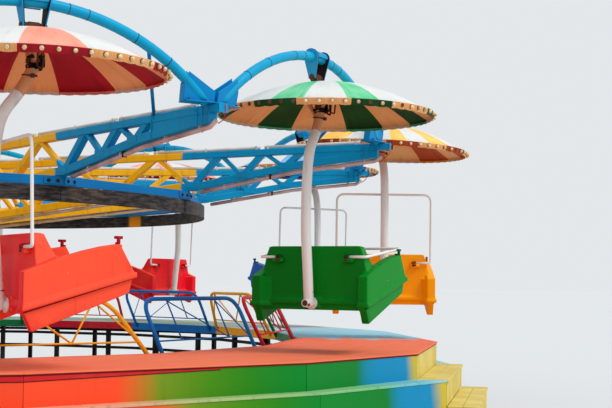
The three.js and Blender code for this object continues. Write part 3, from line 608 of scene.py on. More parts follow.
def tube(path, radius, sides=12):
    """A round bar drawn along a path, closed at both ends."""
    path = [Vector(point) for point in path]
    last = len(path) - 1
    ways = [(path[min(i + 1, last)] - path[max(i - 1, 0)]).normalized() for i in range(last + 1)]
    shape = bmesh.new()
    bmesh.ops.create_circle(shape, cap_ends=False, radius=radius, segments=sides,
                            matrix=Matrix.Translation(path[0]) @ upright_to(ways[0]))
    edges = shape.edges[:]
    for i in range(1, last + 1):
        made = bmesh.ops.extrude_edge_only(shape, edges=edges)["geom"]
        ring = {item for item in made if isinstance(item, bmesh.types.BMVert)}
        edges = [item for item in made if isinstance(item, bmesh.types.BMEdge)
                 and item.verts[0] in ring and item.verts[1] in ring]
        bend = ways[i - 1].rotation_difference(ways[i]).to_matrix().to_4x4()
        move = Matrix.Translation(path[i]) @ bend @ Matrix.Translation(-path[i - 1])
        bmesh.ops.transform(shape, matrix=move, verts=list(ring))
    bmesh.ops.holes_fill(shape, edges=[edge for edge in shape.edges if edge.is_boundary], sides=0)
    bmesh.ops.recalc_face_normals(shape, faces=shape.faces[:])
    for face in shape.faces:
        face.smooth = len(face.verts) == 4
    return shape


def turned(profile, segments, closed=False, sharp=0.6):
    """A profile of radius and height spun round the Z axis."""
    shape = bmesh.new()
    line = [shape.verts.new((radius, 0, height)) for radius, height in profile]
    edges = [shape.edges.new(pair) for pair in zip(line, line[1:])]
    if closed:
        edges.append(shape.edges.new((line[-1], line[0])))
    bmesh.ops.spin(shape, geom=line + edges, cent=(0, 0, 0), axis=(0, 0, 1), angle=2 * pi, steps=segments,
                   use_merge=True)
    bmesh.ops.remove_doubles(shape, verts=shape.verts[:], dist=1e-5)
    bmesh.ops.recalc_face_normals(shape, faces=shape.faces[:])
    for face in shape.faces:
        face.smooth = True
    for edge in shape.edges:
        edge.smooth = edge.calc_face_angle(0) < sharp
    return shape


def cornered(profile, edge, closed=False):
    """A turned profile with one flat side for each bay."""
    shape = turned(profile, BAYS, closed)
    for face in shape.faces:
        face.smooth = False
    return soften(shape, edge)


def circle(radius, height, reach, lift, count):
    """The round profile of a ring, from its middle and its half width and half height."""
    angles = [2 * pi * k / count for k in range(count)]
    return [(radius + reach * cos(angle), height + lift * sin(angle)) for angle in angles]


def bolt(spot, way, radius=0.014, height=0.010):
    """A hexagon head on its washer."""
    shape = bmesh.new()
    place = Matrix.Translation(spot) @ upright_to(Vector(way).normalized())
    washer = 0.003
    for sides, foot, top, low, thick in ((10, 1.5, 1.5, 0.0, washer), (6, 1.0, 0.93, washer, height)):
        middle = place @ Matrix.Translation((0, 0, low + thick / 2))
        bmesh.ops.create_cone(shape, cap_ends=True, segments=sides, radius1=radius * foot,
                              radius2=radius * top, depth=thick, matrix=middle)
    return shape


def placed(name, mesh, body, nodes=()):
    """Makes a mesh an object at the origin, riding on its body."""
    piece = linked(name, mesh)
    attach(piece, body)
    if nodes:
        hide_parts(*nodes)


class Piece:
    """A piece gathered from shapes that are each made on their own; its main finish may be given once."""

    def __init__(self, main=None):
        self.whole = bmesh.new()
        self.main = main
        self.finishes = []

    def add(self, shape, finish=None, at=None):
        finish = finish or self.main
        if finish not in self.finishes:
            self.finishes.append(finish)
        if at is not None:
            bmesh.ops.transform(shape, matrix=at, verts=shape.verts)
        for face in shape.faces:
            face.material_index = self.finishes.index(finish)
        self.take(shape)

    def take(self, shape):
        carrier = bpy.data.meshes.new("carrier")
        shape.to_mesh(carrier)
        shape.free()
        self.whole.from_mesh(carrier)
        bpy.data.meshes.remove(carrier)

    def put(self, name, body, slot, nodes=(), at=None, swap=None):
        mesh = bpy.data.meshes.new(name)
        self.whole.to_mesh(mesh)
        if at is not None:
            mesh.transform(at)
        for finish in self.finishes:
            mesh.materials.append(FINISHES[(swap or {}).get(finish, finish)])
        placed(name, mesh, body, nodes)


def about_z(angle):
    return Matrix.Rotation(radians(angle), 4, "Z")


def girder_turn(index, further=0.0):
    return about_z(FIRST_GIRDER + BAY * index + further)


def seat_place(number):
    angle = FIRST_SEAT + BAY * (number - 1)
    return Matrix.Translation(polar(APEX_RADIUS, angle)) @ about_z(angle + 90)


# Girders

def top_edge(radius):
    return TIP_TOP - (TIP_RADIUS - radius) * TOP_FALL


def low_edge(radius):
    """The underside of a girder: level on the drive ring, rising to the tip in two slopes."""
    kink, steep, gentle = 5.3, 0.2, 0.125
    if radius <= RING_START:
        return RING_SEAT - (RING_START - radius) * 0.14
    rise = max(0, min(radius, kink) - RING_END) * steep
    return RING_SEAT + rise + max(0, radius - kink) * gentle


def chord(radii, edge, depth):
    """A box chord that follows an edge line over some radii; depth is measured from the line."""
    line = [(radius, edge(radius)) for radius in radii]
    back = [(radius, height + depth) for radius, height in reversed(line)]
    return side_plate(line + back, -0.045, 0.045, 0.006, 2)


def tip_plates():
    """The plated box at the tip of a girder: its web, ribs and end cap."""
    start, end = 5.44, 6.16
    web = [(start, low_edge(start) + 0.01), (end, low_edge(end) + 0.01), (end, TIP_TOP - 0.02),
           (start, top_edge(start) - 0.02)]
    yield side_plate(web, -0.04, 0.04, 0.003)
    for radius in (5.445, 6.05, 6.115, 6.19):
        low, top = low_edge(radius) + 0.004, top_edge(radius) - 0.01
        yield cross_plate([(-0.052, low), (0.052, low), (0.052, top), (-0.052, top)],
                          radius - 0.005, radius + 0.005, 0.002)
    yield box((6.195, -0.043, TIP_TOP - 0.068), (6.325, 0.043, TIP_TOP - 0.002), 0.006, 2)
    yield box((6.322, -0.052, TIP_TOP - 0.078), (6.33, 0.052, TIP_TOP + 0.004), 0.002)


def add_sleeves(piece):
    """Lamp sleeves above and below a girder, each held by clips."""
    def clips(places, edge, bottom, top, finish):
        for x in places:
            low, high = (x - 0.01, -0.024, edge(x) + bottom), (x + 0.01, 0.024, edge(x) + top)
            piece.add(box(low, high, 0.003), finish)

    for start, end in ((1.0, 2.25), (2.3, 3.62), (3.68, 4.9), (4.95, 6.0)):
        ends = [(x, 0, top_edge(x) + 0.02) for x in (start, end)]
        piece.add(rod(*ends, 0.019, 12), "white_sleeve")
        clips((start + 0.04, (start + end) / 2, end - 0.04), top_edge, -0.004, 0.041, "white_sleeve")

    def below(*radii):
        return [(radius, 0, low_edge(radius) - 0.03) for radius in radii]

    end = (6.235, 0, low_edge(TIP_RADIUS) + 0.012)
    piece.add(tube(below(4.24, 4.7, 5.28, 5.32, 6.05, 6.16) + [end], 0.021, 12), "pink_sleeve")
    piece.add(ball(*below(4.235), 0.021, 10, 6), "pink_sleeve")
    clips((4.5, 4.98), low_edge, -0.052, 0.004, "pink_sleeve")
    clips((5.02,), low_edge, -0.052, 0.004, "dark_steel")
    clips((5.6, 6.05), low_edge, -0.052, 0.004, "pink_sleeve")
    piece.add(tube(below(0.95, 2.4, 3.8), 0.02, 10), "tan_sleeve")
    clips((1.3, 2.1, 2.9, 3.6), low_edge, -0.052, 0.004, "tan_sleeve")


def lattice_girder():
    piece = Piece("girder_paint")
    shapes = [chord((ROOT_RADIUS, TIP_RADIUS), top_edge, -0.07),
              chord((ROOT_RADIUS, RING_START, RING_END, 5.3, TIP_RADIUS), low_edge, 0.08)]
    for i, low in enumerate(BOTTOM_NODES):
        foot = (low, 0, low_edge(low) + 0.045)
        for node, width, depth, edge in ((i + 1, 0.066, 0.076, 0.005), (i, 0.042, 0.062, 0.004)):
            head = (TOP_NODES[node], 0, top_edge(TOP_NODES[node]) - 0.035)
            shapes.append(beam(foot, head, width, depth, edge))
        for side in SIDES:
            shapes.append(box((low - 0.07, side * 0.046 - 0.003, low_edge(low) + 0.03),
                              (low + 0.07, side * 0.046 + 0.003, low_edge(low) + 0.095), 0.002))
    for shape in (*shapes, *tip_plates()):
        piece.add(shape)
    wire = [(6.333, 0.014, -0.01), (6.334, 0.016, -0.06), (6.30, 0.034, -0.13), (6.24, 0.02, -0.16)]
    route = rounded([(x, y, TIP_TOP + drop) for x, y, drop in wire], 0.04, 3)
    piece.add(tube(route, 0.0045, 6), "red_paint")
    for side in SIDES:
        for x in (5.47, 6.03):
            piece.add(bolt((x, side * 0.045, top_edge(x) - 0.035), (0, side, 0), 0.009))
    add_sleeves(piece)
    return piece


# Drive ring

def drive_ring():
    piece = Piece()
    low, high = 2.515, 2.61
    band = [(3.994, low), (RING_CORNER, low), (RING_CORNER, high), (3.994, high)]
    piece.add(cornered(band, 0.006, closed=True), "ring_paint", girder_turn(0))
    hoop = [(4.046, 2.37), (4.058, 2.37), (4.058, 2.516), (4.046, 2.516)]
    for profile in (hoop, circle(4.052, 2.372, 0.008, 0.007, 8)):
        piece.add(turned(profile, 144, closed=True), "hoop_paint")
    reach = RING_CORNER * cos(radians(HALF_BAY))
    half_side = RING_CORNER * sin(radians(HALF_BAY))
    for i in range(BAYS):
        at = girder_turn(i)
        piece.add(box((4.056, -0.028, 2.378), (4.062, 0.028, 2.514), 0.001), "hoop_paint", at)
        piece.add(box((4.06, -0.003, 2.376), (4.064, 0.003, 2.514), 0.0), "black_inside", at)
        for side in SIDES:
            corner = girder_turn(i, side * HALF_BAY)
            start, end, *bolts = ((shift - half_side) * side for shift in (0.006, 0.2, 0.06, 0.15))
            joint = box((reach - 0.002, start, 2.53), (reach + 0.007, end, 2.596), 0.002)
            piece.add(joint, "ring_paint", corner)
            for y in bolts:
                piece.add(bolt((reach + 0.007, y, 2.562), (1, 0, 0), 0.013, 0.008), "dark_steel", corner)
    return piece


# Arches with their saddles and hangers

def arch_point(along):
    lean = Vector((APEX_RADIUS - ARCH_FOOT, APEX_HEIGHT - SADDLE_TOP))
    sag = lean.length
    bend = (ARCH_HALF_SPAN ** 2 + sag ** 2) / (2 * sag)
    rise = (sqrt(bend ** 2 - along ** 2) - (bend - sag)) / sag
    return Vector((ARCH_FOOT + lean.x * rise, along, SADDLE_TOP + lean.y * rise))


def add_arch(piece, at):
    reach = ARCH_HALF_SPAN + 0.005
    path = [arch_point(-reach + 2 * reach * k / 40) for k in range(41)]
    piece.add(tube(path, 0.044, 20), "arch_paint", at)
    for along in (-1.16, -0.86, -0.44, -0.28, 0.28, 0.44, 0.86, 1.16):
        near = [arch_point(along + step) for step in (-0.003, 0.003)]
        piece.add(tube(near, 0.0457, 20), "weld", at)
    brace = 5.43
    foot = polar(brace, HALF_BAY, top_edge(brace))
    head = arch_point(0.975)
    piece.add(rod(foot + Vector((0, 0, -0.03)), head, 0.016, 10), "cheek_paint", at)
    piece.add(ball(foot + Vector((0, 0, 0.004)), 0.032, 8, 6, (1, 1, 0.8)), "black_inside", at)
    piece.add(ball(head, 0.026, 8, 6), "cheek_paint", at)


def add_hanger(piece, at):
    """The cap over an arch and the two lugs that hold a seat's pin."""
    x, low, top = APEX_RADIUS, PIN_HEIGHT - 0.018, APEX_HEIGHT + 0.062

    def over(radius):
        angles = [radians(angle) for angle in range(0, 181, 20)]
        return [(x + radius * cos(angle), APEX_HEIGHT + radius * sin(angle)) for angle in angles]

    piece.add(side_plate(over(0.066) + over(0.0455)[::-1], -0.12, 0.12, 0.004, 2), "hanger_paint", at)
    shoulder, waist = APEX_HEIGHT - 0.02, low + 0.03
    lug = [(x - 0.038, low), (x + 0.038, low), (x + 0.042, waist), (x + 0.074, shoulder), *over(0.078),
           (x - 0.074, shoulder), (x - 0.042, waist)]
    for side in SIDES:
        lean = Matrix.Identity(4)
        lean[1][2] = side * 0.037 / (top - low)
        lean[1][3] = -lean[1][2] * low
        # Inside each lug stands a thin near-black plate: painted shade on the inner face between the lugs.
        for start, end, edge, finish in (
                (0.08, 0.09, 0.002, "hanger_paint"), (0.074, 0.076, 0, "black_inside")):
            piece.add(side_plate(lug, side * start, side * end, edge), finish, at @ lean)
        near, far = sorted((side * 0.05, side * 0.086))
        piece.add(rod((x, near, PIN_HEIGHT), (x, far, PIN_HEIGHT), 0.026, 14), "rusty_steel", at)
        piece.add(bolt((x, side * 0.088, PIN_HEIGHT), (0, side, 0), 0.024, 0.016), "rusty_steel", at)
        piece.add(ball((x, side * 0.092, PIN_HEIGHT - 0.03), 0.018, 8, 6), "rusty_steel", at)
    piece.add(rod((x, -0.1, PIN_HEIGHT), (x, 0.1, PIN_HEIGHT), 0.014, 12), "rusty_steel", at)
    piece.add(box((x - 0.045, -0.07, top - 0.11), (x - 0.035, 0.07, top - 0.10), 0.002), "hanger_paint", at)


def add_saddle(piece, at):
    """The plates on a girder tip and the cheeks of both arches that meet there."""
    lean = atan2(APEX_RADIUS - ARCH_FOOT, APEX_HEIGHT - SADDLE_TOP)
    near, far = 1.306, 1.598
    cheek = [(far, -0.008), (near, -0.008), (near, 0.142), (near + 0.037, 0.243), (far, 0.098)]
    for side in SIDES:
        stand = at @ about_z(-side * HALF_BAY) @ Matrix.Translation((ARCH_FOOT, 0, SADDLE_TOP))
        base = box((-0.075, side * (near + 0.012), -0.0115), (0.085, side * (far + 0.014), 0), 0.003)
        piece.add(base, "cheek_paint", stand)
        for x in (-0.055, 0.062):
            for y in (near + 0.04, 1.5):
                piece.add(bolt((x, side * y, 0), (0, 0, 1), 0.011), "dark_steel", stand)
        tilted = stand @ Matrix.Rotation(lean, 4, "Y")
        for middle in (-0.03, 0.03):
            plate = cross_plate([(side * y, z) for y, z in cheek], middle - 0.004, middle + 0.004, 0.002)
            piece.add(plate, "cheek_paint", tilted)
        end = box((-0.034, side * (near - 0.002), -0.006), (0.034, side * (near + 0.006), 0.138), 0.0)
        piece.add(end, "cheek_paint", tilted)


# Seats, each in its own frame: X forward, Y towards the hub, heights above the ground

def canopy_place(number):
    """The second canopy has slipped on its fork, and the third leans outwards."""
    if number == 3:
        return Matrix.Translation((0, -0.06, 3.503)) @ Matrix.Rotation(radians(2.4), 4, "X")
    return Matrix.Translation((0.06, -0.075, 3.515) if number == 2 else (0, -0.06, 3.515))


# Seams of the canopies in degrees, as the start of a run and its number of gores; the first gore is coloured.
# The gores are cut by hand and differ in width.
SEAM_RUNS = {
    1: ((244, 1), (273, 1), (308, 4), (390.4, 1), (419, 7)),
    2: ((168.9, 1), (193.4, 1), (220.5, 1), (242, 1), (274, 4), (352.9, 1), (376.4, 1), (407.7, 1),
        (430, 3)),
    3: ((178, 1), (199, 1), (222, 1), (246, 3), (301.2, 1), (326.1, 7)),
}
# On these two the seams of the dome don't meet those of its rim band.
DOME_RUNS = {
    **SEAM_RUNS,
    2: ((176.0, 1), (196.8, 1), (218.2, 1), (236.2, 1), *SEAM_RUNS[2][4:]),
    3: ((181, 1), (193, 1), (209.4, 1), (227.8, 1), (262, 2), (301.2, 1), (326.1, 7)),
}


def gore_seams(number, table=SEAM_RUNS):
    runs = table.get(number, ((number * 37 % 25, GORES),))
    ends = [start for start, _ in runs[1:]] + [runs[0][0] + 360]
    return [start + (end - start) * k / count
            for (start, count), end in zip(runs, ends) for k in range(count)]


def canopy_sheet(number):
    """A shallow dome of painted gores with a leaning, scalloped rim band."""
    bend = CANOPY_DROP / CANOPY_RADIUS ** 2
    radii = (0, 0.11, 0.24, 0.38, 0.52, 0.66, 0.79, 0.91, 0.975)
    outside = [(r, -bend * r * r) for r in radii] + [(1.002, -0.2985)]
    band = [(1.006, -0.289), (1.011, -0.286), (CANOPY_RADIUS + 0.001, -0.290), (1.0125, -0.318),
            (0.999, -0.341)]
    back = [(0.995, -0.340), (1.006, -0.320), (1.004, -0.307)]
    inside = [(r, -bend * r * r - 0.005) for r in reversed(radii)]
    shape = turned(outside + band + back + inside, BULBS * 4, sharp=0.5)
    seams = gore_seams(number)
    for vert in shape.verts:
        reach = hypot(vert.co.x, vert.co.y)
        turn = atan2(vert.co.y, vert.co.x)
        if vert.co.z < -0.339:
            vert.co.z -= 0.007 * abs(sin((turn - radians(seams[0])) * BULBS / 2))
        elif 0.2 < reach < 0.98:
            vert.co.z += 0.004 * sin(turn * 3 + number) * reach
    shape.normal_update()
    lines = shape.loops.layers.uv.new("gore")
    for face in shape.faces:
        centre = face.calc_center_median()
        on_dome = face.normal.z > 0.2 and hypot(centre.x, centre.y) < 1.004
        cuts = gore_seams(number, DOME_RUNS) if on_dome else seams
        turn = (degrees(atan2(centre.y, centre.x)) - cuts[0]) % 360 + cuts[0]
        gore = sum(cut <= turn for cut in cuts) - 1
        # The underside and the rim band take the underside colours, which are painted shade.
        face.material_index = gore % 2 + (0 if on_dome else 2)
        start, end = cuts[gore], (cuts + [cuts[0] + 360])[gore + 1]
        for loop in face.loops:
            x, y, _ = loop.vert.co
            ahead = (degrees(atan2(y, x)) - turn + 180) % 360 - 180
            loop[lines].uv = (gore + (turn + ahead - start) / (end - start), hypot(x, y))
    return shape


def canopy_bulbs(number):
    """Lamps along the rim band; some are missing from their sockets, on one canopy a whole run."""
    chance = Random(40 + number)
    piece = Piece()
    out = Vector((0.955, 0, -0.297))
    seat = Vector((1.0125, 0, -0.312))
    for i in range(BULBS):
        angle = gore_seams(number)[0] + (i + 0.5) * 360 / BULBS
        piece.add(rod(seat - out * 0.002, seat + out * 0.006, 0.0185, 8), "socket", about_z(angle))
        bare = number == 2 and 140 < angle % 360 < 197
        if chance.random() > 0.08 and not bare:
            piece.add(ball(seat + out * 0.016, 0.0175, 8, 6), "bulb_glass", about_z(angle))
    return piece


def pole():
    """The bent pole, its eye, the forked brackets under the canopy and the stub that carries the tub."""
    piece = Piece()
    path = rounded([(x, -out, z) for x, out, z in POLE_PATH], 0.1, 4)
    upper = [spot for spot in path if spot.z > 3.05]
    lower = [spot for spot in path if spot.z <= 3.05]
    # Above the bend, under the canopy, the pole and fork arms take a tan colour that is painted shade with
    # warm light reflected from the deck.
    piece.add(tube(upper + lower[:1], 0.046, 20), "fork_paint")
    piece.add(tube(lower, 0.0462, 20), "pole_paint")
    foot = Vector((POLE_PATH[-1][0], -SEAT_OUTWARD, STUB_HEIGHT))
    piece.add(ball(foot, 0.046, 16, 8), "pole_paint")
    seam_and_painted_shadow_line = [foot + Vector(step) for step in ((-0.003, 0, 0.1), (-0.0034, 0, 0.105))]
    piece.add(tube(seam_and_painted_shadow_line, 0.0478, 20), "rusty_steel")

    def stub(start, end, radius, sides, finish):
        piece.add(rod((start, foot.y, STUB_HEIGHT), (end, foot.y, STUB_HEIGHT), radius, sides), finish)

    stub(-0.308, -0.1725, 0.036, 16, "pole_paint")
    stub(-0.3105, -0.307, 0.027, 12, "rusty_steel")
    piece.add(ball((-0.29, foot.y - 0.03, 1.43), 0.017, 8, 6, (1.2, 0.7, 0.8)), "rusty_steel")
    stub(-0.1726, -0.186, 0.058, 16, "pole_paint")
    piece.add(box((-0.0497, -0.028, 3.455), (0.0497, 0.028, 3.588), 0.01, 2), "rusty_steel")
    for side, reach in ((-1, 0.20), (1, 0.16)):
        arm = [(0.012, side * 0.01, 3.2), (0.0, side * 0.07, 3.3), (-0.005, side * reach, 3.475)]
        piece.add(tube(rounded(arm, 0.06, 4), 0.021, 10), "fork_paint")
        end = side * reach
        piece.add(box((-0.05, end - 0.035, 3.462), (0.04, end + 0.035, 3.476), 0.003), "rusty_steel")
    for height, lean, finish in (
            (3.17, 8, "rusty_steel"), (3.225, -6, "black_inside"), (3.268, 14, "black_inside")):
        ahead = 0.015 - (3.25 - height) * 0.6 if height < 3.25 else 0.013
        at = Matrix.Translation((ahead, -0.04 + (height - 3.25) * 0.1, height))
        at = at @ Matrix.Rotation(radians(lean), 4, "X")
        piece.add(turned(circle(0.053, 0, 0.008, 0.008, 6), 20, closed=True), finish, at)
        piece.add(box((-0.012, -0.076, -0.016), (0.016, -0.052, 0.016), 0.003), finish, at)
    loop = [(0, 0.026, 3.335), (0, 0.03, 3.23), (0, -0.02, 3.21), (0, -0.03, 3.315), (0, 0.02, 3.345)]
    for spot, turn, finish in (
            ((0.01, -0.165, 0), 40, "rusty_steel"), ((0.03, -0.12, -0.01), -25, "black_inside")):
        at = Matrix.Translation(spot) @ about_z(turn)
        piece.add(tube(rounded(loop, 0.014, 3), 0.0075, 8), finish, at)
    for low, high, finish in (((-0.05, -0.1, 3.235), (0.07, 0.01, 3.262), "black_inside"),
                              ((-0.045, -0.095, 3.3), (0.06, 0.005, 3.325), "black_inside"),
                              ((-0.06, -0.075, 3.262), (-0.04, -0.02, 3.3), "rusty_steel"),
                              ((0.055, -0.085, 3.262), (0.075, -0.03, 3.3), "black_inside")):
        piece.add(box(low, high, 0.004), finish)
    return piece


def tub_blank():
    """The plates of a tub before they are moulded into one shell."""
    piece = Piece("shell")
    bench = [(-0.15, 1.38), (0.52, 1.6), (0.52, 1.64), (-0.085, 1.425), (-0.085, 1.5), (-0.15, 1.5)]
    piece.add(side_plate(bench, -0.52, 0.52, 0))
    half = [(0.53, 1.4), (0.54, 1.74), (0.507, 1.888), (0.482, 1.95), (0.455, 1.967)]
    back = [(-0.53, 1.4), *half, *((-y, z) for y, z in half[:0:-1])]
    piece.add(cross_plate(back, -0.147, -0.085, 0))
    piece.add(box((-0.172, -0.53, 1.432), (-0.13, 0.53, 1.478), 0))
    piece.add(box((-0.172, -0.075, 1.392), (-0.13, 0.075, 1.5), 0))
    ear = [(-0.146, 1.7), (-0.146, 1.964), (-0.065, 1.962), (-0.01, 1.84), (0.03, 1.78), (0.03, 1.7)]
    wall = [(-0.252, 1.688), (-0.252, 1.44), (0.588, 1.692), (0.47, 1.9), (0.34, 1.879), (0.2, 1.845),
            (0.0, 1.785)]
    ridge = [(-0.262, 1.404), (0.604, 1.656), (0.6, 1.696), (-0.262, 1.444)]
    skirt = [(-0.241, 1.43), (-0.232, 1.385), (-0.176, 1.262), (0.553, 1.54), (0.58, 1.65), (0.57, 1.67)]
    top = [(-0.252, 1.66), (-0.252, 1.686), (0.02, 1.80), (0.02, 1.66)]
    # The post at a rear corner: back, its start and far side, front, near side, bevel, bottom and top
    posts = ((-0.262, 0.5, 0.58, -0.13, 0.436, -0.158, 1.408, 1.444),
             (-0.252, 0.509, 0.57, -0.12, 0.448, -0.147, 1.444, 1.686),
             (-0.24, 0.517, 0.56, -0.12, 0.462, -0.145, 1.385, 1.45))
    for side in SIDES:
        shear = Matrix.Identity(4)
        shear[1][2] = -side * 0.29
        shear[1][3] = side * 0.29 * 1.76
        piece.add(side_plate(ear, side * 0.47, side * 0.538, 0), at=shear)
        for outline, near, far in ((wall, 0.505, 0.603), (ridge, 0.5, 0.621), (skirt, 0.512, 0.586)):
            piece.add(side_plate(outline, side * near, side * far, 0))
        for back, start, far, front, near, bevel, low, high in posts:
            corner = [(back, start), (back, far), (front, far), (front, near), (bevel, near)]
            piece.add(floor_plate([(x, side * y) for x, y in corner], low, high, 0))
        piece.add(side_plate(top, side * 0.507, side * 0.57, 0))
    return piece


def moulded(piece, grain, rounds, share):
    """Joins the overlapping plates of a piece into one shell and rounds its edges, inside corners too."""
    blank, seed = bpy.data.meshes.new("blank"), bpy.data.meshes.new("seed")
    piece.whole.to_mesh(blank)
    kernel = box((-0.14, -0.02, 1.7), (-0.1, 0.02, 1.74), 0)
    kernel.to_mesh(seed)
    kernel.free()
    carrier, other = linked("blank", blank), linked("seed", seed)
    for kind, settings in (
            ("BOOLEAN", {"operation": "UNION", "solver": "EXACT", "use_self": True, "object": other}),
            ("DECIMATE", {"decimate_type": "DISSOLVE", "angle_limit": radians(2)}),
            ("REMESH", {"mode": "VOXEL", "voxel_size": grain, "use_smooth_shade": True}),
            ("SMOOTH", {"factor": 0.5, "iterations": rounds}),
            ("DECIMATE", {"ratio": share})):
        modifier = carrier.modifiers.new(kind.lower(), kind)
        for name, value in settings.items():
            setattr(modifier, name, value)
    bpy.context.view_layer.update()
    ready = carrier.evaluated_get(bpy.context.evaluated_depsgraph_get())
    mesh = bpy.data.meshes.new_from_object(ready)
    for old in (carrier, other):
        bpy.data.objects.remove(old)
    return mesh


def tub_fittings():
    """Brackets and knobs of the lap bar, dark strips of painted shadow under the ridges of the shell and the
    pads on the bench.
    """
    piece = Piece()
    pivot, height = BAR_PIVOT
    for side in SIDES:
        y = side * 0.372
        boss = box((-0.196, y - side * 0.062, 1.812), (-0.14, y + side * 0.052, 1.858), 0.018, 3)
        piece.add(boss, "shell")
        piece.add(box((-0.2, y - 0.008, 1.842), (-0.142, y + 0.008, 1.89), 0.003), "bracket")
        inner = y - side * 0.03
        piece.add(box((-0.2, inner - 0.004, 1.842), (-0.142, inner + 0.004, 1.884), 0.002), "bracket")
        piece.add(rod((pivot, y - side * 0.04, height), (pivot, y, height), 0.009, 10), "rusty_steel")
        piece.add(ball((-0.192, y - side * 0.016, 1.838), 0.017, 8, 6, (0.9, 1.8, 0.8)), "rusty_steel")
        knob = side * 0.583
        piece.add(box((0.425, side * 0.53, 1.872), (0.487, side * 0.6, 1.894), 0.007, 2), "shell")
        piece.add(rod((0.462, knob, 1.885), (0.462, knob, 1.947), 0.014, 10), "bracket")
        piece.add(rod((0.437, knob, 1.945), (0.492, knob, 1.945), 0.0115, 10), "bracket")
        piece.add(ball((0.437, knob, 1.945), 0.0118, 8, 6), "bracket")
        clip = box((0.452, side * 0.545 - 0.02, 1.89), (0.474, side * 0.56 + 0.02, 1.912), 0.004)
        piece.add(clip, "bracket")
    # Dark strips under the ridge of the back panel and under the ridges of the wings are painted shadow.
    piece.add(box((-0.1535, -0.49, 1.4225), (-0.14, 0.49, 1.4305), 0.002), "groove")
    seam_and_painted_shadow_line = [(-0.236, 1.396), (0.577, 1.6425), (0.575, 1.6495), (-0.238, 1.404)]
    for side in SIDES:
        piece.add(side_plate(seam_and_painted_shadow_line, side * 0.57, side * 0.5935, 0.002), "groove")
    for y in (-0.3, -0.1, 0.1, 0.3):
        piece.add(box((-0.075, y - 0.04, 1.432), (0.03, y + 0.04, 1.437), 0.001), "bracket")
    return piece


def lap_bar(raised):
    angle = radians(BAR_UP if raised else BAR_DOWN)
    pivot, height = BAR_PIVOT

    def along(distance, y):
        return Vector((distance * cos(angle) + pivot, y, distance * sin(angle) + height))

    half = [along(0, 0.3805), along(0, 0.55), along(BAR_LENGTH, 0.55)]
    route = half + [Vector((p.x, -p.y, p.z)) for p in reversed(half)]
    path = [route[0]]
    for i, reach in ((1, 0.03), (2, 0.09), (3, 0.09), (4, 0.03)):
        path += rounded(route[i - 1:i + 2], reach, 6)[1:-1]
    piece = Piece()
    piece.add(tube(path + [route[-1]], 0.013, 12), "bar_paint")
    return piece


# Platform

def deck_corner(index, inner=False):
    place = (index + 1) % DECK_SIDES - 1
    if place in STAIR_CORNERS and not inner:
        angle, radius = STAIR_CORNERS[place]
    else:
        angle, radius = -41.5 + 20 * index, PIT_RADIUS if inner else DECK_RADIUS
    return polar(radius, angle).to_2d()


def outset(point, distance):
    return point * ((point.length + distance) / point.length)


def bay_strip(index, inner, offset, depth, gap=0.0015):
    """The outline of a board along one side of a bay, with a narrow gap at its ends."""
    first, last = (outset(deck_corner(index + k, inner), offset) for k in (0, 1))
    step = (last - first).normalized() * gap
    back = [outset(point, -depth) for point in (last, first)]
    return [first + step, last - step, back[0] - step, back[1] + step]


def ledge_board(index, offset, depth):
    """The outline of a board of the ledge; beside the stairs it widens to the front of the first tread."""
    outline = bay_strip(index, False, offset, depth)
    if index % DECK_SIDES == 17:
        corner, after = deck_corner(0), deck_corner(1)
        along = (after - corner).normalized()
        start, out = corner - along * 0.006, Vector((along.y, -along.x))
        outline[1] = start + out * (0.128 + offset)
        if depth < 0.1:
            line = (outline[1] - outline[0]).normalized()
            inward = Vector((line.y, -line.x)) * -depth
            outline[2:] = [outline[1] + inward, outline[0] + inward]
        else:
            outline[2] = start - out * 0.018
    return outline


def is_open_bay(index):
    return 2 <= index % DECK_SIDES <= 8


def add_red_strip(piece, index):
    """The red bearer that shows under the edge of the deck and tapers out to the right; a near-black strip
    below it is painted shadow.
    """
    first, last = deck_corner(index), deck_corner(index + 1)
    top = DECK_TOP - 0.0265
    ends = ((0.0, 0.038), (0.999, 0.034)) if index % DECK_SIDES == 15 else ((0.0, 0.034), (0.66, 0.006))
    line = [(first.lerp(last, share), height) for share, height in ends]
    out = (first + last).normalized()
    for grow, drop, finish in ((0.002, 0, "red_paint"), (0.0012, 0.006, "black_inside")):
        edge = [(*spot, top) for spot, _ in line]
        edge += [(*spot, top - height - drop) for spot, height in reversed(line)]
        piece.add(prism(edge, (out.x * grow, out.y * grow, 0), 0.0), finish)


def add_deck_bay(piece, index):
    first, last = deck_corner(index), deck_corner(index + 1)
    inner = [deck_corner(index + 1, True), deck_corner(index, True)]
    across = (last - first).normalized() * 0.0015
    outline = [first + across, last - across, inner[0] - across, inner[1] + across]
    lip = [outset(outline[0], 0.012), outset(outline[1], 0.012), outline[2], outline[3]]
    piece.add(floor_plate(lip, DECK_TOP - 0.012, DECK_TOP, 0.004, 2), "deck_paint")
    piece.add(floor_plate(outline, DECK_TOP - 0.025, DECK_TOP - 0.0115, 0.0), "edge_shadow")
    piece.add(floor_plate(bay_strip(index, True, 0.025, 0.025), 0.87, 0.956, 0.003), "black_timber")
    if is_open_bay(index):
        piece.add(floor_plate(bay_strip(index, False, 0.0, 0.025), 0.87, 0.956, 0.003), "black_timber")
        return
    at_stairs = index % DECK_SIDES == 0
    finish = "stair_paint" if at_stairs else "fascia_paint"
    piece.add(floor_plate(bay_strip(index, False, -0.002, 0.022), 0.712, DECK_TOP - 0.0255, 0.003), finish)
    if index % DECK_SIDES in (15, 16):
        add_red_strip(piece, index)
    if not at_stairs:
        piece.add(floor_plate(ledge_board(index, 0.152, 0.17), 0.713, LEDGE_TOP, 0.004, 2), "ledge_paint")
        piece.add(floor_plate(ledge_board(index, 0.146, 0.02), 0.0, 0.7135, 0.003), "skirt_paint")


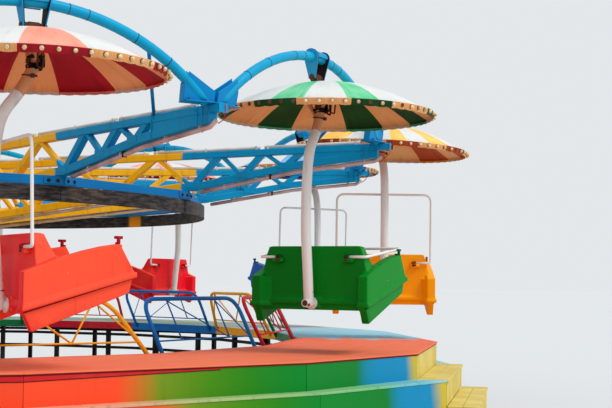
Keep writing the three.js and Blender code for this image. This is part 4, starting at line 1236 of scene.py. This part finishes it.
def add_deck_frame(piece, index):
    """Posts with foot plates, rails between them and a joist from the pit to the outer edge."""
    for inner in (True, False) if is_open_bay(index) else (True,):
        for share in (0.25, 0.75):
            spot = deck_corner(index, inner).lerp(deck_corner(index + 1, inner), share)
            spot = outset(spot, 0.06 if inner else -0.06)
            at = Matrix.Translation((*spot, 0)) @ Matrix.Rotation(atan2(spot.y, spot.x), 4, "Z")
            piece.add(box((-0.03, -0.03, 0), (0.03, 0.03, 0.956), 0.004), at=at)
            piece.add(box((-0.05, -0.05, 0), (0.05, 0.05, 0.012), 0.003), at=at)
    for z in (0.57, 0.77):
        piece.add(floor_plate(bay_strip(index, True, 0.075, 0.04), z, z + 0.04, 0.004))
    if is_open_bay(index):
        piece.add(floor_plate(bay_strip(index, False, -0.045, 0.04), 0.77, 0.81, 0.004))
    inside, outside = deck_corner(index, True), deck_corner(index)
    way = (outside - inside).normalized()
    start, end = inside + way * 0.04, outside - way * 0.06
    piece.add(beam((*start, 0.925), (*end, 0.925), 0.06, 0.04, 0.003, side=(-way.y, way.x, 0)))


RAIL_COLOURS = ["rail_red", "rail_green", "rail_yellow", "rail_blue"] * 4 + ["rail_yellow", "rail_blue"]


def add_railing(piece, index):
    """A leaning loop over the pit and its thinner rods; the yellow one is splayed over a zigzag."""
    place = index % DECK_SIDES
    colour = RAIL_COLOURS[place]
    splayed = colour == "rail_yellow"
    left, right = deck_corner(index, True), deck_corner(index + 1, True)
    width = (right - left).length
    along = (right - left).normalized()
    inward = Vector((-along.y, along.x))
    slope = 0.28 / 0.54
    low, high = 1.08, 1.44

    def spot(corner, shift, height):
        point = corner + along * shift + inward * (0.023 + (height - 0.92) * slope)
        return Vector((point.x, point.y, height))

    def add_rod(start, end, radius):
        piece.add(rod(spot(left, *start), spot(left, *end), radius, 8), colour)

    route = [spot(left, 0.13, 0.92), spot(left, 0.13, 1.37), spot(left, 0.22, 1.46)]
    ends = ((-0.22, 1.46), (-0.13, 1.37), (-0.13, 0.92))
    if splayed:
        ends = ((-0.44, 1.46), (-0.3, 1.36), (-0.05, 0.92))
    route += [spot(right, shift, height) for shift, height in ends]
    piece.add(tube(rounded(route, 0.1, 5), 0.02, 12), colour)
    if splayed:
        zigzag = [(0.13, 1.2), (width * 0.28, high), (width * 0.55, low), (width * 0.72, high),
                  (width - 0.12, low)]
        for start, end in zip(zigzag, zigzag[1:]):
            add_rod(start, end, 0.009)
        add_rod((0.13, low), (width - 0.12, low), 0.009)
    else:
        add_rod((0.13, low), (width - 0.13, low), 0.008)
        for share in (0.28, 0.72):
            add_rod((width * share, low), (width * share, 1.455), 0.008)
        add_rod((width * 0.28, high), (width * 0.72, low), 0.006)
        add_rod((width * 0.72, high), (width - 0.14, low), 0.006)
    curb = floor_plate(bay_strip(index, True, -0.0003, 0.0247), 0.875, DECK_TOP, 0.003)
    piece.add(curb, "rail_red" if place >= 12 or place == 0 else colour)


def stairs():
    """Three treads of two boards each, on closed sides and fronts."""
    piece = Piece("stair_paint")
    left, right = deck_corner(0), deck_corner(1)
    along = right - left
    width = along.length
    at = Matrix.Translation((*left, 0)) @ Matrix.Rotation(atan2(along.y, along.x) - pi / 2, 4, "Z")

    def add(low, high, edge=0.003, segments=1):
        piece.add(box(low, high, edge, segments), at=at)

    for step in (1, 2, 3):
        top = DECK_TOP - step * STEP_RISE
        near = 0.002 if step == 1 else (step - 1) * STEP_RUN
        far = step * STEP_RUN
        half = (near + far) / 2
        for start, end in ((near, half - 0.002), (half + 0.002, far + 0.012)):
            add((start, -0.004, top - 0.028), (end, width + 0.004, top), 0.004, 2)
        low = 0.0 if step == 3 else top - STEP_RISE
        add((far - 0.022, 0.006, low), (far - 0.001, width - 0.006, top - 0.027))
        board = (top - 0.03) / 2
        for y in (0.005, width - 0.029):
            for low, high in ((0, board), (board + 0.001, 2 * board)):
                add((near + 0.001, y, low), (far - 0.023, y + 0.024, high - 0.001))
    return piece


# Hub and pedestal

def hub():
    piece = Piece("hub_paint")
    flat = 0.52
    corner = flat / cos(pi / BAYS) - 0.01
    drum = [(0, 2.0403), (corner, 2.0403), (corner, top_edge(flat) + 0.028), (0.19, 3.105), (0, 3.105)]
    flange = [(0, 1.9905), (0.6, 1.9905), (0.606, 1.994), (0.606, 2.036), (0.6, 2.04), (0, 2.04)]
    cap = [(0, 3.1), (0.16, 3.1), (0.16, 3.106), (0.11, 3.112), (0, 3.112)]
    piece.add(cornered(drum, 0.008), at=girder_turn(0, HALF_BAY))
    piece.add(turned(flange, 72))
    piece.add(turned(cap, 32), "dark_steel")
    for i in range(24):
        piece.add(bolt((0.57, 0, 2.04), (0, 0, 1), 0.014, 0.012), "dark_steel", about_z(15 * i + 4))
    gusset = [(0.51, 2.04), (0.6, 2.04), (0.51, 2.13)]
    for i in range(BAYS):
        at = girder_turn(i)
        for z in (2.14, 2.32):
            piece.add(box((0.49, -0.07, z), (0.534, 0.07, z + 0.03), 0.003), at=at)
        piece.add(side_plate(gusset, -0.005, 0.005, 0.0), at=girder_turn(i, HALF_BAY))
        for side in SIDES:
            piece.add(rod((0.53, side * 0.06, 2.22), (1.75, side * 0.32, 2.38), 0.008, 8), "red_paint", at)
    return piece


def pedestal():
    piece = Piece("pedestal_paint")
    base = [(0, 0), (1.245, 0), (1.25, 0.005), (1.25, 0.052), (1.242, 0.06), (0, 0.06)]
    column = [(0, 0.06), (0.38, 0.06), (0.38, 1.85), (0.596, 1.912), (0.6, 1.92), (0.6, 1.985),
              (0.596, 1.99), (0, 1.99)]
    piece.add(turned(base, 64))
    piece.add(turned(column, 64))
    for i in range(16):
        piece.add(bolt((1.17, 0, 0.06), (0, 0, 1), 0.022, 0.018), "dark_steel", about_z(22.5 * i + 5))
    rib = [(0.37, 0.06), (1.0, 0.06), (1.0, 0.1), (0.42, 0.75), (0.37, 0.75)]
    for i in range(8):
        piece.add(side_plate(rib, -0.008, 0.008, 0.002), at=about_z(45 * i + 22.5))
    for index, share in ((0, 0.25), (4, 0.75), (9, 0.25), (13, 0.75)):
        spot = outset(deck_corner(index, True).lerp(deck_corner(index + 1, True), share), 0.06)
        at = Matrix.Rotation(atan2(spot.y, spot.x), 4, "Z")
        end = spot.length - 0.0305
        for low, high in (((0.3, -0.1, 0), (end, 0.1, 0.016)), ((0.3, -0.1, 0.184), (end, 0.1, 0.2)),
                          ((0.3, -0.007, 0.014), (end, 0.007, 0.186)),
                          ((end - 0.014, -0.1, 0), (end, 0.1, 0.2))):
            piece.add(box(low, high, 0.002), at=at)
        for x in (1.6, 2.8, 4.0):
            for side in SIDES:
                stiffener = box((x - 0.006, side * 0.006, 0.015), (x + 0.006, side * 0.092, 0.185), 0.001)
                piece.add(stiffener, at=at)
    return piece


# Putting the ride together

def build_girders():
    girder = lattice_girder()
    for i in range(BAYS):
        girder.put(f"lattice_{i + 1}", "carousel", "blue_paint", [f"girder_{i + 1}"], girder_turn(i))


def build_arches():
    for group in range(3):
        arches, saddles, hangers = Piece(), Piece(), Piece()
        for bay in range(group * 4, group * 4 + 4):
            at = about_z(FIRST_SEAT + BAY * bay)
            add_arch(arches, at)
            add_saddle(saddles, about_z(FIRST_SEAT + BAY * bay - HALF_BAY))
            add_hanger(hangers, at)
        arches.put(f"arch_tubes_{group + 1}", "carousel", "blue_paint", [f"arches_{group + 1}"])
        saddles.put(f"saddles_{group + 1}", "carousel", "blue_paint")
        hangers.put(f"hangers_{group + 1}", "carousel", "blue_paint")


def build_seats():
    shell = moulded(tub_blank(), 0.0075, 7, 0.1)
    upright, fittings = pole(), tub_fittings()
    bars = {raised: lap_bar(raised) for raised in (True, False)}
    for number in range(1, BAYS + 1):
        colour = SEAT_COLOURS[(number - 1) % 4]
        at = seat_place(number)
        body, bar = f"seat_{number}", f"bar_{number}"
        hung = at @ Matrix.Translation((0, -SEAT_OUTWARD, 0))
        under = at @ canopy_place(number)
        sheet = Piece()
        # The last two finishes are the painted-shade colours of the underside and the rim band.
        sheet.finishes = [f"{colour}_gore", "white_gore", f"{colour}_under", "tan_under"]
        sheet.take(canopy_sheet(number))
        sheet.put(f"canopy_sheet_{number}", body, f"canopy_{colour}", [f"canopy_{number}"], under)
        canopy_bulbs(number).put(f"canopy_bulbs_{number}", body, f"canopy_{colour}", (), under)
        upright.put(f"pole_{number}_fork", body, f"canopy_{colour}", (), at)
        mesh = shell.copy()
        mesh.transform(hung)
        mesh.materials.clear()
        mesh.materials.append(FINISHES[f"{colour}_shell"])
        placed(f"tub_shell_{number}", mesh, body, [f"tub_{number}"])
        swap = {"shell": f"{colour}_shell", "bracket": f"{colour}_under", "groove": f"{colour}_groove"}
        fittings.put(f"tub_fittings_{number}", body, f"tub_{colour}", (), hung, swap)
        bars[number != 2].put(f"lap_tube_{number}", bar, "bar_white", [f"lap_bar_{number}"], hung)


def build_platform():
    for section in range(2):
        deck, under = Piece(), Piece("black_timber")
        for index in range(3 + 9 * section, 12 + 9 * section):
            add_deck_bay(deck, index)
            add_deck_frame(under, index)
        deck.put(f"deck_{section + 1}", "root", "deck_paint", [f"platform_{section + 1}"])
        under.put(f"deck_frame_{section + 1}", "root", "steel")
    for section in range(3):
        rails = Piece()
        for index in range(3 + 6 * section, 9 + 6 * section):
            add_railing(rails, index)
        rails.put(f"rail_loops_{section + 1}", "root", "railing_paint", [f"railings_{section + 1}"])
    stairs().put("stair_boards", "root", "stair_paint", ["stairs"])


def build_middle():
    drive_ring().put("ring_band", "carousel", "ring_paint", ["drive_ring"])
    hub().put("hub_drum", "carousel", "hub_paint", ["slewing_hub"])
    pedestal().put("pedestal_column", "root", "steel", ["centre_pedestal"])


def studio():
    ground = bpy.data.meshes.new("floor")
    shape = bmesh.new()
    bmesh.ops.create_grid(shape, x_segments=1, y_segments=1, size=900)
    bmesh.ops.translate(shape, vec=(0, 0, -0.002), verts=shape.verts)
    shape.to_mesh(ground)
    shape.free()
    finish = Finish("pale_floor", 0.9)
    finish.shader.inputs["Base Color"].default_value = tone(211, 213, 214)
    ground.materials.append(finish.material)
    floor = linked("floor", ground)
    world = bpy.data.worlds.new("studio")
    world.use_nodes = True
    world.node_tree.nodes["Background"].inputs["Color"].default_value = (0.86, 0.89, 0.91, 1)
    world.node_tree.nodes["Background"].inputs["Strength"].default_value = 0.9
    scene.world = world
    sun = bpy.data.lights.new("sun", "SUN")
    sun.energy = 1.7
    sun.angle = radians(25)
    height = radians(50)
    linked("sun", sun).matrix_world = upright_to(polar(cos(height), -45, sin(height)))
    scene.view_settings.view_transform = "Standard"


build_girders()
build_middle()
build_arches()
build_seats()
build_platform()
studio()
